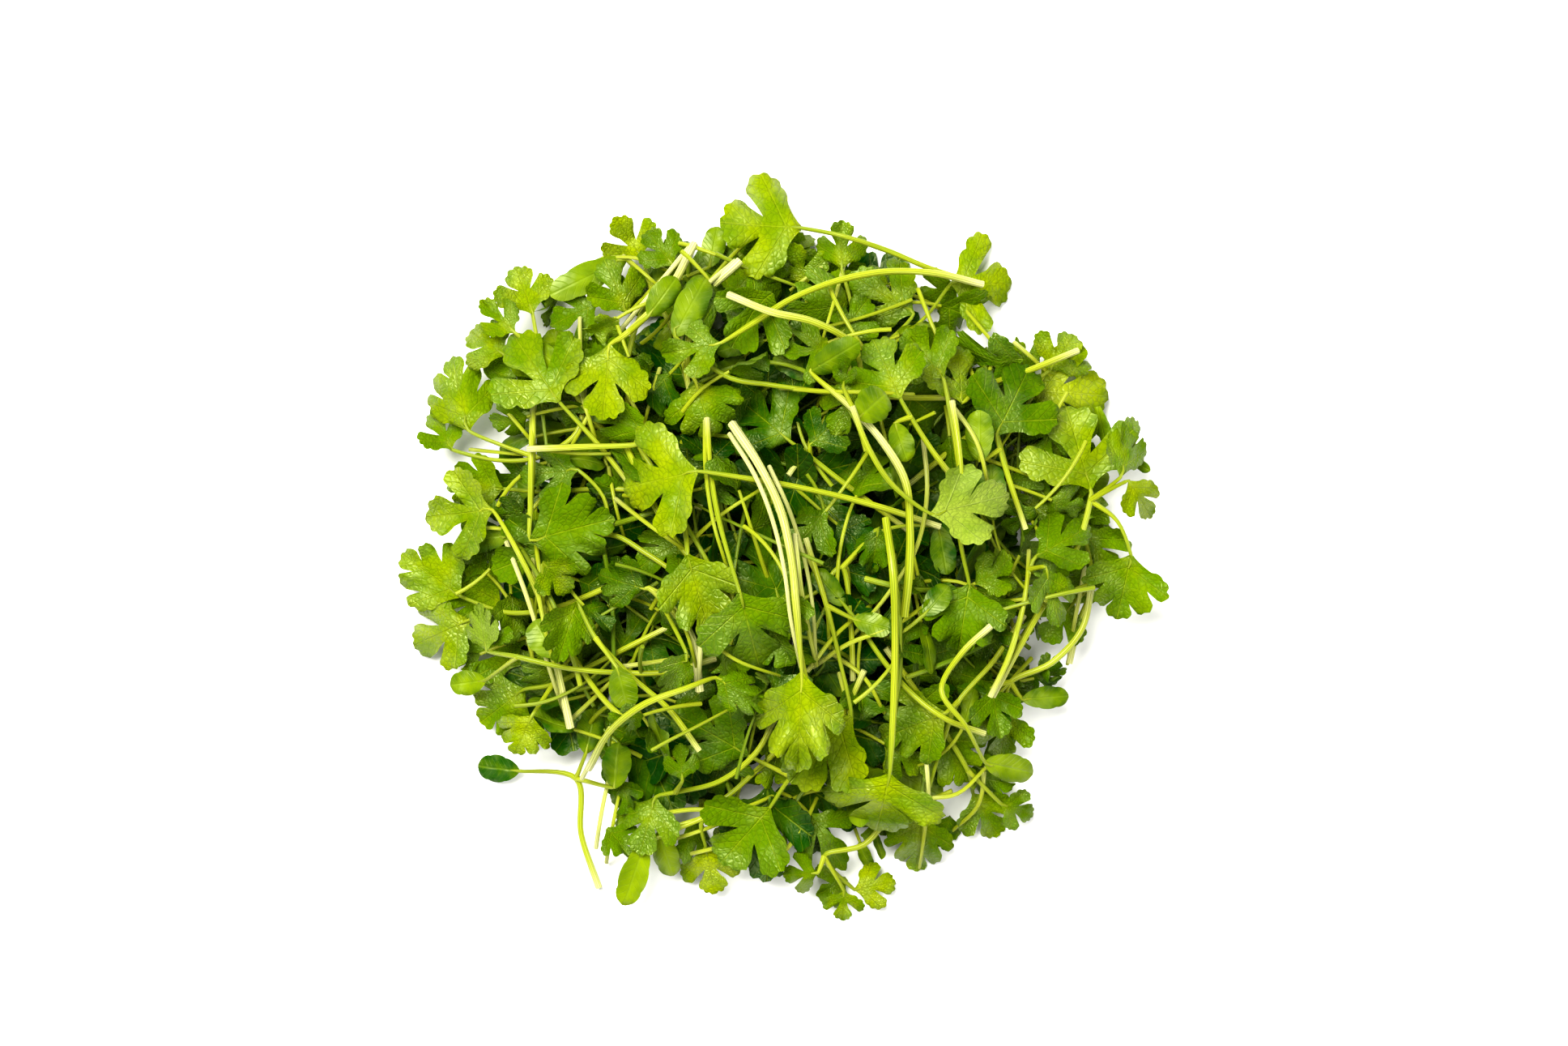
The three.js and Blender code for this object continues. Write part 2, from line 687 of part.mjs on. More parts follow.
sprig("west_curl", 0.95, 1.2, [[-35.1, -40.5], [-30.2, -32.4], [-23.9, -27.6], [-16.5, -24.8]], [
  lobed([[-11.3, -23]], [-3, -28.4], 7, {}),
]);
sprig("west_large", 0.95, 1, [[-27, 11.9], [-29.5, 15.4], [-33, 19.5]], [
  lobed([[-40.4, 27.6]], [-48.4, 39], 17, {}),
]);
sprig("west_cross", 1, 1.1, [[-46.2, 18.8], [-36, 19.2], [-26, 19.6]], [
  lobed([[-23.2, 21.4]], [-34.4, 26], 6.4, {}),
]);

// Upper sprigs, north side
sprig("north_far", 0.9, 1, [[36.8, 50.3], [27.8, 53], [19.5, 56.3], [12, 58.5]], [
  lobed([[4.4, 60.2]], [-9.4, 61], 18, {}),
]);
sprig("north_pale", 1, 1.4, [[-15.6, 57.3], [-21.3, 46.5], [-27.6, 40.4]], [
  lobed([[-31, 38]], [-32, 25.4], 14, {}),
  seed([[-23.8, 43.4]], [-18.6, 50.6], 4.6, {}),
]);
sprig("north_thick", 1, 1.35, [[-7, 53.9], [-13.5, 47.3], [-16.5, 42], [-16.8, 36]], [
  lobed([[-15, 31]], [-12.4, 22.2], 14, {}),
]);
sprig("north_long", 1, 1, [[33, 28.5], [21, 28.5], [3, 30], [-9.8, 32.4]], [
  seed([[-15.8, 35], [-18.9, 39.6]], [-13.2, 50.4], 5.6, {}),
]);
sprig("north_arch", 1, 1.2, [[38.4, 49.8], [27.9, 51.9], [20.4, 51.9], [12, 50.3], [3.6, 47.1], [-5, 41.6]], [
  lobed([[-10.4, 38.2]], [-20.4, 36.4], 10, {}),
]);
sprig("north_bow", 1, 1.3, [[-9, 47.1], [-2.1, 44], [8.4, 41.4], [14, 37.8]], [
  lobed([[16.2, 34.2], [15.4, 31]], [10.6, 22.4], 9, {}),
]);

// Upper sprigs, east half
sprig("east_big", 0.95, 1.15, [[39.8, -27], [46.5, -15], [55.5, 0], [58.4, 9.4]], [
  lobed([[58.4, 11.6]], [54.4, 25.4], 20, {}),
  lobed([[62.4, 7.4], [66, -0.9]], [63.8, -11.6], 15, {}),
  lobed([[63.6, 13.6]], [66.4, 24], 7, {}),
  lobed([[65, 13]], [69.4, 6.8], 7, {}),
]);
sprig("east_middle", 0.95, 1, [[39.3, -27], [42.8, -19.5], [45.8, -9], [46.8, -3.4]], [
  lobed([[48, -1]], [57.4, 4.2], 10, {}),
  lobed([[49.4, -3]], [52, -13], 8, {}),
]);
sprig("east_upper", 1, 1.1, [[56.3, 37.5], [43.5, 32.3], [38, 30.4]], [
  lobed([[34.2, 27.4]], [33.6, 37], 12, {}),
]);
sprig("east_dark", 1, 1, [[46, 4], [42.8, 13.5], [41.2, 18.8]], [
  lobed([[40.6, 21.6]], [46.4, 33.2], 16, {}),
  seed([[37.4, 16.6]], [37.2, 26], 5, {}),
]);
sprig("east_stalk", 1, 1, [[36, 6], [33.4, 15.6], [32.4, 22]], [
  lobed([[31.4, 27.6], [30.6, 32]], [24.4, 40], 12, {}),
]);
sprig("east_leaf", 1, 1, [[33, 12.6], [27.4, 19.8], [24.4, 24.6]], [
  lobed([[22.4, 28]], [18, 38], 13, {}),
  seed([[21.4, 23.4]], [23.8, 16.4], 4.4, {}),
]);
sprig("east_drop", 1, 1, [[32.1, 27.6], [33.8, 14], [33.5, 3]], [
  lobed([[35.4, -6.2]], [33.6, -17.6], 15, {}),
]);

// Upper sprigs, south side
sprig("south_bare", 1, 1, [[38.3, -33.8], [30.8, -30.8], [22.5, -24], [15, -13.5]], [
  seed([[12.4, -10]], [6.6, -3.4], 4, {}),
  seed([[20, -16], [27, -11.7]], [31.6, -6.4], 4.2, {}),
]);
sprig("south_slant", 1, 1.1, [[39.3, -13.8], [34.5, -18], [30, -25.5]], [
  seed([[34.5, -32], [38.3, -39]], [47.5, -41.2], 5, {}),
]);
sprig("south_yellow", 1, 1, [[5.2, 2.4], [6.4, -3], [9, -10]], [
  lobed([[12, -22.5], [13.6, -30.4]], [3.4, -41.6], 17, {}),
  seed([[14, -12.5]], [21, -14.4], 4, {}),
]);

// Topmost sprigs over the middle
sprig("middle_left", 1, 1, [[-18.8, 14], [-16.8, 6], [-16.6, 2]], [
  lobed([[-16.4, -0.6]], [-12.6, -14], 14, {}),
]);
sprig("middle_heart", 1, 1, [[-13, 24.4], [-12.3, 15], [-10.4, 4.6]], [
  lobed([[-6.8, -7.4]], [-3.6, -20], 17, {}),
]);
sprig("middle_bright", 1, 1.1, [[30, 4.5], [18, 8.4], [6, 11.3], [-6, 13.4]], [
  lobed([[-14.6, 14.6]], [-27, 11.8], 19, {}),
]);
sprig("middle_thick", 1, 1.45, [[23.3, -12], [24.3, 0], [23.4, 12.6], [19.5, 19.5], [13.8, 26]], [
  seed([[6, 33]], [15, 38.2], 5, {}),
  lobed([[12, 30]], [12.4, 35], 4, {}),
  seed([[14.6, 24.2]], [19.8, 28.8], 6.4, {}),
]);
sprig("middle_pale", 1, 1, [[13.5, 26.3], [15.3, 21], [21, 12]], [
  lobed([[28, 6.8]], [41.2, 10], 13, {}),
]);
sprig("middle_upright", 1, 1.35, [[19.8, 6], [21, -3], [21.5, -18], [21, -34]], [
  lobed([[20.6, -41]], [18.6, -51], 20, {}),
]);
sprig("middle_white", 1, 1.5, [[-8.3, 23.3], [-3.8, 16.5], [0, 9], [2.3, 0], [3.3, -9]], [
  lobed([[4.4, -22]], [3.8, -38.4], 15, {}),
]);

// Colours of the sprigs by where they lie
const TONES = {
  foot: 0x4c7a1e,
  inner: 0x55821f,
  deep: 0x679226,
  rim: 0x9dbb35,
  loose: 0xa8c24a,
};
const UPPER_TONE = 0x86ad2e;
const ROUGHNESS = 0.62;

function solidOf({ strands, blades }) {
  const pieces = [
    ...strands.map((strand) => solidFrom(tubeGeometry(strand))),
    ...blades.map((blade) => solidFrom(bladeGeometry(blade))),
  ];
  const joined = pieces.reduce((whole, piece) => whole.add(piece)).simplify(SHORTEST_EDGE);
  return joined.decompose().reduce((most, body) => (body.volume() > most.volume() ? body : most));
}

// The heap stands on zero, with the middle of its plan over the origin
const solids = sprigs.map((each) => solidOf(laySprig(each)));
const bounds = new THREE.Box3();
for (const solid of solids) {
  const { min, max } = solid.boundingBox();
  bounds.expandByPoint(new THREE.Vector3(...min));
  bounds.expandByPoint(new THREE.Vector3(...max));
}
const middle = bounds.getCenter(new THREE.Vector3());

const group = new THREE.Group();
sprigs.forEach(({ name }, i) => {
  const geometry = geometryFrom(solids[i].translate([-middle.x, -middle.y, -bounds.min.z]));
  const color = TONES[name.split("_")[0]] ?? UPPER_TONE;
  const matte = new THREE.MeshStandardMaterial({ color, roughness: ROUGHNESS, metalness: 0 });
  const mesh = new THREE.Mesh(geometry, matte);
  mesh.name = name;
  group.add(mesh);
});

export default group;
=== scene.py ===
"""A loose heap of cut celery microgreens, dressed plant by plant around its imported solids."""
import math

import bpy
import numpy as np
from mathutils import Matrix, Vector
from mathutils.geometry import delaunay_2d_cdt


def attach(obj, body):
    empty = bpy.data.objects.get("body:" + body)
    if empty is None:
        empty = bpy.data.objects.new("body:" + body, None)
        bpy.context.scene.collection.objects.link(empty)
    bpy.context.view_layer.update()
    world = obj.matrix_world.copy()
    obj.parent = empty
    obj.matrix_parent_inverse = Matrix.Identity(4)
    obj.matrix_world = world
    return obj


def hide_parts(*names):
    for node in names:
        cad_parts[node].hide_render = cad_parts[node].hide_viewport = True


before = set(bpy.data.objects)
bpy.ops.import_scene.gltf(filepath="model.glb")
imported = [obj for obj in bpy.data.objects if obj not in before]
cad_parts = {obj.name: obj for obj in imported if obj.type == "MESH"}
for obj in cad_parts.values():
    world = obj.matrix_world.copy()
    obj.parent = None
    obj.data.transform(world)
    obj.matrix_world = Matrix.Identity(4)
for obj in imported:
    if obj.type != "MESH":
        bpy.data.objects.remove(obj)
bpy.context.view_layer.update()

# Everything below is laid out in millimetres and made in metres
MM = 0.001

# Thickness of the solids' blades, and radii of their stems where they are cut, branch and meet a blade
BLADE_THICK = 0.6
CUT_RADIUS = 0.68
CROWN_RADIUS = 0.56
STALK_RADIUS = 0.48
LEAF_BASE_RADIUS = 0.4
SUNK_RADIUS = 0.18
# How much further the corners of a solid's few-sided stem reach than its radius
POINTED = 1.12

# How the solids are laid: the gap between them, and how closely their strands are sampled
GAP = 0.42
RING_STEP = 9
CURVE_PARTS = 12
SAMPLE_STEP = 0.8
CROWN_REACH = 3
CROWN_NEAR = 0.5
LEAST_SHARE = 0.25
TIGHTEST_BEND = 11
STIFFEN_ROUNDS = 40

# The mound that the heap is piled over, and the map of heights that its sprigs are laid on
MOUND_HEIGHT = 25
MOUND_RADIUS = 68
MOUND_X = -1
MOUND_Y = 0
CELL = 0.6
HALF_MAP = 96
MAP_CELLS = round(2 * HALF_MAP / CELL)
laid = np.zeros((MAP_CELLS, MAP_CELLS))

# A solid's blade in leaf lengths, how closely it follows the slope under it, and where its stalk sinks in
GROWTH = 1.1
PALM = 0.33
SUNK_SHARE = 0.2
LOBED_HALF = [
    (0, 0.05), (0.18, 0.39), (0.47, 0.61), (0.72, 0.44), (0.52, 0.17), (0.8, 0.31), (0.96, 0.18),
]
SEED_HALF = [(0, 0.05), (0.3, 0.2), (0.65, 0.22), (0.92, 0.12)]
LOBED_SPREAD = 1.22
SEED_SPREAD = 0.44
STEEPEST = 0.34
FOLLOW = 0.7


def make_random(start):
    """Seeded random numbers between 0 and 1, the same ones that the solids are placed by"""
    whole = 0xFFFFFFFF
    state = start & whole

    def draw():
        nonlocal state
        state = (state + 0x6D2B79F5) & whole
        t = ((state ^ (state >> 15)) * (state | 1)) & whole
        t ^= (t + (((t ^ (t >> 7)) * (t | 61)) & whole)) & whole
        return ((t ^ (t >> 14)) & whole) / 4294967296

    return draw


def cell_of(value):
    cell = np.floor((np.asarray(value, float) + HALF_MAP) / CELL)
    return np.clip(cell, 0, MAP_CELLS - 1).astype(int)


def cells_within(x, y, reach):
    """Cells of a height map within reach of plan points, as one pair of index arrays for each offset"""
    first_i, last_i = cell_of(x - reach), cell_of(x + reach)
    first_j, last_j = cell_of(y - reach), cell_of(y + reach)
    for i in range(int((last_i - first_i).max()) + 1):
        for j in range(int((last_j - first_j).max()) + 1):
            yield np.minimum(first_i + i, last_i), np.minimum(first_j + j, last_j)


def highest(heights, x, y, reach):
    """Greatest height within reach of each plan point"""
    top = np.zeros(len(x))
    for cells in cells_within(x, y, reach):
        top = np.maximum(top, heights[cells])
    return top


def raise_to(heights, x, y, reach, height):
    for cells in cells_within(x, y, reach):
        np.maximum.at(heights, cells, height)


def mound_at(x, y):
    """Height of the mound that the heap is piled over"""
    share = np.minimum(((x - MOUND_X) ** 2 + (y - MOUND_Y) ** 2) / MOUND_RADIUS**2, 1)
    return MOUND_HEIGHT * (1 - share) ** 0.8


def rest_height(heights, x, y, reach, half, level):
    """Lowest centre height for something that reaches half below its centre"""
    below = highest(heights, x, y, reach)
    over = np.where(below > 0, below + GAP, 0)
    return np.maximum(over, level * mound_at(x, y)) + half


def curved(a, b, c, d, t):
    """Value at share t of the way from b to c on the smooth curve through four values or points"""
    square = 2 * a - 5 * b + 4 * c - d
    cube = 3 * b - a - 3 * c + d
    return 0.5 * (2 * b + (c - a) * t + square * t * t + cube * t * t * t)


def curve_point(points, span, t):
    """Point of the curve through all the plan points, by span and share of the span"""
    a, b = points[max(span - 1, 0)], points[span]
    c, d = points[span + 1], points[min(span + 2, len(points) - 1)]
    return [curved(a[k], b[k], c[k], d[k], t) for k in (0, 1)]


def even_path(points, first_span, end_span):
    """Evenly spaced plan points along some spans of the curve, both ends included"""
    dense = []
    for span in range(first_span, end_span):
        dense += [curve_point(points, span, part / CURVE_PARTS) for part in range(CURVE_PARTS)]
    dense.append(curve_point(points, end_span - 1, 1))
    far = [0.0]
    for p, q in zip(dense, dense[1:]):
        far.append(far[-1] + math.hypot(q[0] - p[0], q[1] - p[1]))
    count = max(1, math.floor(far[-1] / RING_STEP + 0.5))
    even = []
    i = 1
    for step in range(count + 1):
        target = far[-1] * step / count
        while i < len(far) - 1 and far[i] < target:
            i += 1
        t = (target - far[i - 1]) / (far[i] - far[i - 1])
        even.append([dense[i - 1][k] * (1 - t) + dense[i][k] * t for k in (0, 1)])
    return even


class Samples:
    """Points along the chords of a strand, whose rings are lists of x, y, height and radius"""

    def __init__(self, rings):
        x, y, radius, far, chord, share = [], [], [], [], [], []
        start = 0.0
        for i, (a, b) in enumerate(zip(rings, rings[1:])):
            length = math.hypot(b[0] - a[0], b[1] - a[1])
            parts = max(1, math.ceil(length / SAMPLE_STEP))
            last = parts if i + 2 == len(rings) else parts - 1
            for j in range(last + 1):
                t = j / parts
                x.append(a[0] * (1 - t) + b[0] * t)
                y.append(a[1] * (1 - t) + b[1] * t)
                radius.append(a[3] * (1 - t) + b[3] * t)
                far.append(start + length * t)
                chord.append(i)
                share.append(t)
            start += length
        self.x, self.y, self.radius = np.array(x), np.array(y), np.array(radius)
        self.far, self.chord, self.share = far, chord, share


def taut_line(along, heights):
    """Corners of the lowest taut line over heights, as pairs of distance and height"""
    taut = []
    for far, height in zip(along, heights):
        while len(taut) > 1:
            (far_a, a), (far_b, b) = taut[-2:]
            if (b - a) * (far - far_a) > (height - a) * (far_b - far_a):
                break
            taut.pop()
        taut.append((far, height))
    return taut


def hang(rings, taut):
    """Puts rings on a taut line"""
    far = 0.0
    at = 1
    for i, ring in enumerate(rings):
        if i > 0:
            far += math.hypot(ring[0] - rings[i - 1][0], ring[1] - rings[i - 1][1])
        while at < len(taut) - 1 and taut[at][0] < far:
            at += 1
        (far_a, a), (far_b, b) = taut[at - 1], taut[at]
        ring[2] = a + (b - a) * (far - far_a) / (far_b - far_a)


def lift_clear(rings, samples, need, fixed_start):
    """Lifts rings until the chords between them reach the heights that their samples need"""
    lift = [0.0] * len(rings)
    for height, chord, share in zip(need, samples.chord, samples.share):
        short = height - (rings[chord][2] * (1 - share) + rings[chord + 1][2] * share)
        fixed = fixed_start and chord == 0
        wanted = short / max(share, LEAST_SHARE) if fixed else short
        lift[chord + 1] = max(lift[chord + 1], wanted)
        if not fixed:
            lift[chord] = max(lift[chord], short)
    for ring, more in zip(rings, lift):
        ring[2] += more


def lay_strand(rings, crown, level, first, last_least):
    """Sets the heights of the rings so the strand lies taut over what is under it"""
    s = Samples(rings)
    reach = s.radius + SAMPLE_STEP
    if crown >= 0:
        near = np.hypot(s.x - rings[crown][0], s.y - rings[crown][1]) < CROWN_NEAR
        reach = np.where(near, CROWN_REACH, reach)
    need = rest_height(laid, s.x, s.y, reach, s.radius * POINTED, level).tolist()
    if first is not None:
        need[0] = first
    need[-1] = max(need[-1], last_least)
    hang(rings, taut_line(s.far, need))
    lift_clear(rings, s, need, first is not None)
    if first is None:
        stiffen(rings)


def stiffen(rings):
    """Raises the lower neighbours of sharp bends until no bend is tighter than a stem can take"""
    for _ in range(STIFFEN_ROUNDS):
        for a, b, c in zip(rings, rings[1:], rings[2:]):
            step = (math.hypot(b[0] - a[0], b[1] - a[1]) + math.hypot(c[0] - b[0], c[1] - b[1])) / 2
            over = b[2] - (a[2] + c[2]) / 2 - step * step / (2 * TIGHTEST_BEND)
            if over > 0:
                a[2] += over / 2 if a[2] < b[2] else 0
                c[2] += over / 2 if c[2] < b[2] else 0


def raise_strand(heights, rings):
    """Raises a height map to the top of a strand"""
    s = Samples(rings)
    z = np.array([rings[i][2] * (1 - t) + rings[i + 1][2] * t for i, t in zip(s.chord, s.share)])
    raise_to(heights, s.x, s.y, s.radius + SAMPLE_STEP / 2, z + s.radius * POINTED)


class Blade:
    """A leaf's place: its plan frame, and its plane and bend once it is laid"""

    def __init__(self, shoot):
        self.kind = shoot["kind"]
        self.base = shoot["path"][-1]
        self.shape = shoot["shape"]
        lobed_kind = self.kind == "lobed"
        grown = GROWTH if lobed_kind else 1
        dx = grown * (shoot["tip"][0] - self.base[0])
        dy = grown * (shoot["tip"][1] - self.base[1])
        self.length = math.hypot(dx, dy)
        self.wide = grown * shoot["width"] / ((LOBED_SPREAD if lobed_kind else SEED_SPREAD) * self.length)
        self.along = (dx / self.length, dy / self.length)
        half = LOBED_HALF if lobed_kind else SEED_HALF
        self.outline = [(u, -v) for u, v in half] + [(1, 0)] + [(u, v) for u, v in reversed(half)]
        self.height = 0.0
        self.slope_along = self.slope_across = 0.0

    def plan(self, u, v):
        out = v * self.wide
        x = self.base[0] + self.length * (u * self.along[0] - out * self.along[1])
        y = self.base[1] + self.length * (u * self.along[1] + out * self.along[0])
        return x, y

    def form(self, u, v):
        out = v * self.wide
        return self.length * (self.shape["cup"] * out * out - self.shape["droop"] * u * u)

    def samples(self):
        """Even samples over the facets of the solid blade, with linear mixes of their corners"""
        spots = [*self.outline, (PALM, 0)]
        corners = [(*self.plan(u, v), u, v * self.wide, self.form(u, v)) for u, v in spots]
        palm = np.array(corners.pop())
        found = []
        for a, b in zip(corners, [*corners[1:], corners[0]]):
            a, b = np.array(a), np.array(b)
            longest = max(math.dist(a[:2], b[:2]), math.dist(a[:2], palm[:2]), math.dist(b[:2], palm[:2]))
            parts = max(1, math.ceil(longest / SAMPLE_STEP))
            m, n = np.meshgrid(np.arange(parts + 1), np.arange(parts + 1), indexing="ij")
            inside = m + n <= parts
            p, q = m[inside, None] / parts, n[inside, None] / parts
            found.append(palm + (a - palm) * p + (b - palm) * q)
        return np.concatenate(found).T

    def height_at(self, u, out, form):
        return self.height + self.length * (self.slope_along * u + self.slope_across * out) + form

    def lay(self, heights, level):
        """Tilts the blade to what lies under it and lifts it clear"""
        x, y, u, out, form = self.samples()
        along = across = 0.0
        if not self.shape["flat"]:
            ground = np.maximum(highest(heights, x, y, 0), level * mound_at(x, y))
            along, across = follow_slopes(u * self.length, out * self.length, ground)
        self.slope_along = along + self.shape["pitch"]
        self.slope_across = across + self.shape["roll"]
        steep = math.hypot(
            abs(self.slope_along) + 2 * abs(self.shape["droop"]),
            abs(self.slope_across) + 1.2 * abs(self.shape["cup"]) * self.wide,
        )
        self.half_thick = BLADE_THICK / 2 * math.sqrt(1 + steep * steep)
        if self.shape["flat"]:
            self.half_thick = LEAF_BASE_RADIUS * POINTED
        self.height = 0.0
        need = rest_height(heights, x, y, SAMPLE_STEP, self.half_thick, level)
        self.height = float((need - self.height_at(u, out, form)).max())

    def raise_on(self, heights):
        x, y, u, out, form = self.samples()
        raise_to(heights, x, y, SAMPLE_STEP, self.height_at(u, out, form) + self.half_thick)


def follow_slopes(u, v, z):
    """Slopes along and across that best follow the heights under a blade"""
    u, v, z = u - u.mean(), v - v.mean(), z - z.mean()
    uu, vv, uv, uz, vz = (u * u).sum(), (v * v).sum(), (u * v).sum(), (u * z).sum(), (v * z).sum()
    down = uu * vv - uv * uv
    slopes = (uz * vv - vz * uv) / down, (vz * uu - uz * uv) / down
    return [min(STEEPEST, max(-STEEPEST, FOLLOW * slope)) for slope in slopes]


def rings_along(points, first_span, end_span, start, end):
    """Rings along part of a strand, its thickness running evenly between two radii"""
    even = even_path(points, first_span, end_span)
    last = len(even) - 1
    return [[x, y, 0.0, start * (1 - i / last) + end * (i / last)] for i, (x, y) in enumerate(even)]


def settle(rings, blade):
    """Joins a blade to the end of its stalk and sinks the stalk into it"""
    blade.height += rings[-1][2] - blade.height_at(0, 0, 0)
    share = SUNK_SHARE / PALM
    z = blade.height_at(0, 0, 0) * (1 - share) + blade.height_at(PALM, 0, blade.form(PALM, 0)) * share
    x, y = blade.plan(SUNK_SHARE, 0)
    rings.append([x, y, z, SUNK_RADIUS])


def lay_sprig(sprig):
    """Lays a sprig, and gives its strands and its blades"""
    global laid
    level, thick, stem, shoots = sprig["level"], sprig["thick"], sprig["stem"], sprig["shoots"]
    with_own = laid.copy()
    blades = [Blade(shoot) for shoot in shoots]
    points = stem + shoots[0]["path"]
    crown_span = len(stem) - 1
    rings = rings_along(points, 0, crown_span, CUT_RADIUS * thick, CROWN_RADIUS * thick)
    crown = len(rings) - 1
    rings += rings_along(points, crown_span, len(points) - 1, CROWN_RADIUS * thick, LEAF_BASE_RADIUS)[1:]
    blades[0].lay(with_own, level)
    lay_strand(rings, crown, level, None, blades[0].height_at(0, 0, 0))
    settle(rings, blades[0])
    blades[0].raise_on(with_own)
    raise_strand(with_own, rings)
    strands = [rings]
    for blade, shoot in zip(blades[1:], shoots[1:]):
        start = rings[crown]
        path = [start[:2], *shoot["path"]]
        side = rings_along(path, 0, len(path) - 1, STALK_RADIUS, LEAF_BASE_RADIUS)
        blade.lay(with_own, level)
        lay_strand(side, -1, level, start[2], blade.height_at(0, 0, 0))
        settle(side, blade)
        blade.raise_on(with_own)
        raise_strand(with_own, side)
        strands.append(side)
    laid = with_own
    return strands, blades


form_random = make_random(2371)


def shoot(kind, path, tip, width, given=None):
    """Stalk points from the crown to the blade base, then the blade's tip, full width and own form"""
    shape = {
        "droop": -0.06 + 0.32 * form_random(),
        "cup": -0.4 + 0.8 * form_random(),
        "pitch": -0.2 + 0.4 * form_random(),
        "roll": -0.28 + 0.56 * form_random(),
        "flat": False,
    }
    return {"kind": kind, "path": path, "tip": tip, "width": width, "shape": {**shape, **(given or {})}}


def lobed(*given):
    return shoot("lobed", *given)


def seed(*given):
    return shoot("seed", *given)


sprigs = []


def sprig(name, level, thick, stem, shoots):
    """A sprig: how high on the mound it lies, how thick it is, its stem in plan and its shoots"""
    sprigs.append({"name": name, "level": level, "thick": thick, "stem": stem, "shoots": shoots})


# Foot of the heap: one blade lies flat under the middle, as thick as the end of its stalk
LEVEL_BLADE = {"droop": 0, "cup": 0, "pitch": 0, "roll": 0, "flat": True}
sprig("foot_middle", 0, 1, [[24, -14], [12, -9], [4, -5]], [
    lobed([[-2, -1]], [-16, 5], 17, LEVEL_BLADE),
    lobed([[6, 3]], [12, 14], 14),
])

# Inner sprigs, spread by turns of the golden angle on rising levels
INNER_COUNT = 8
GOLDEN_ANGLE = 2.399963
INNER_BLADE = {"droop": 0.06, "cup": 0.1, "pitch": 0, "roll": 0}
inner_random = make_random(88)


def away_from(point, direction, distance):
    return [point[0] + distance * math.cos(direction), point[1] + distance * math.sin(direction)]


for i in range(INNER_COUNT):
    turn = i * GOLDEN_ANGLE + 0.5 * inner_random()
    away = 12 + 24 * math.sqrt((i % 5) / 5)
    level = 0.06 + 0.06 * i if i < 5 else 0.4 + 0.1 * (i - 5)
    heading = turn + 0.9 * (inner_random() - 0.5)
    crown = [away * math.cos(turn), away * math.sin(turn)]
    long = 34 + 12 * inner_random()
    cut, bend = away_from(crown, heading + math.pi, long), away_from(crown, heading + 2.95, long * 0.5)
    stem = [cut, bend, crown]
    shoots = []
    for side in (0, -1, 1, 2 if i % 2 else -2):
        direction = heading + side * (0.85 + 0.25 * inner_random())
        base = away_from(crown, direction, 9 + 8 * inner_random())
        tip = away_from(base, direction + 0.3 * side, 12 + 5 * inner_random())
        shoots.append(lobed([base], tip, 15 + 4 * inner_random(), INNER_BLADE))
    sprig(f"inner_{i + 1}", level, 1, stem, shoots)

# Rim of the heap, walked round from the north
sprig("rim_north", 0.6, 1, [[2, 14], [10, 26], [15, 36]], [
    lobed([[22, 40], [25.5, 44.3]], [14.7, 51], 13),
    lobed([[14, 45], [12, 52.5]], [12, 60.8], 8.5),
    lobed([[11.3, 39.8]], [16.5, 46.5], 10),
    lobed([[25, 41], [32.7, 50.2]], [43, 50.3], 17),
])
sprig("rim_east_high", 0.7, 1, [[24, 12], [35, 21], [42, 27.5]], [
    lobed([[47.3, 30]], [61.2, 29.3], 17),
    lobed([[46, 31], [51, 33.8]], [55.5, 40], 11),
])
sprig("rim_east_low", 0.8, 1.1, [[54.8, -21.2], [57, -12], [59.1, -6.2]], [
    lobed([[58.5, -1], [57.5, 4]], [63, -4.8], 11),
    lobed([[55.5, -9.8]], [50.3, -16.2], 10),
])
sprig("rim_south_east", 0.9, 1.15, [[58.8, -6.5], [57.5, -13.5], [51, -21], [43.5, -24.5]], [
    lobed([[43.2, -27], [42.8, -30]], [42, -38.3], 10),
    seed([[45.8, -27.8]], [54.8, -27.3], 4),
    lobed([[39.8, -25.5]], [41.3, -33.8], 9),
])
sprig("rim_south_east_low", 0.6, 1, [[20, -18], [30, -32], [35.5, -41]], [
    lobed([[36.8, -45.8]], [41.3, -53.3], 10),
    lobed([[42, -47.6]], [47.7, -49.8], 7),
])
sprig("rim_south_right", 0.6, 1, [[46, -12], [39, -22], [33.5, -28]], [
    lobed([[30, -38], [27, -49.5]], [26.3, -59.6], 12),
    lobed([[31, -30]], [20.5, -34.5], 14),
])
sprig("rim_south_foot", 0.5, 1, [[21, -49.5], [18, -54.3], [8.7, -57.3]], [
    lobed([[8.7, -62], [14.5, -64]], [21.6, -62.7], 8),
    lobed([[7.5, -60.3]], [1.6, -60.6], 7),
    lobed([[9.5, -61.5], [12.5, -64]], [12.2, -69.2], 7),
])
sprig("rim_south", 0.7, 1, [[4, -33], [-6, -43], [-14, -50]], [
    lobed([[-13.5, -55.5]], [-12, -63.8], 10),
    seed([[-22.2, -52.5]], [-19.8, -61.2], 4.6),
    seed([[-20, -50.5], [-24.8, -54.8]], [-29, -66.8], 5),
])
sprig("loose_south_west", 0.3, 1.1, [[-33.8, -63.8], [-37.5, -52], [-38, -43]], [
    seed([[-42, -41.3], [-48.8, -41.6]], [-56.8, -40.8], 4.8),
    seed([[-36, -38]], [-34.4, -29.6], 4.6),
    seed([[-33, -46], [-30.5, -44.3]], [-29.7, -35.8], 5.2),
])
sprig("rim_west_low", 0.7, 1, [[-20, -14], [-32, -20], [-42, -25]], [
    lobed([[-47.5, -26]], [-55.2, -31.8], 14),
    lobed([[-45.8, -30.8]], [-48.8, -37.2], 10),
])
sprig("rim_west", 0.8, 1, [[-28, -5], [-41, -10.5], [-51, -11.5]], [
    lobed([[-59.5, -8.6]], [-69.8, -1.5], 13),
    lobed([[-57.8, -13]], [-67.8, -17.6], 13),
])
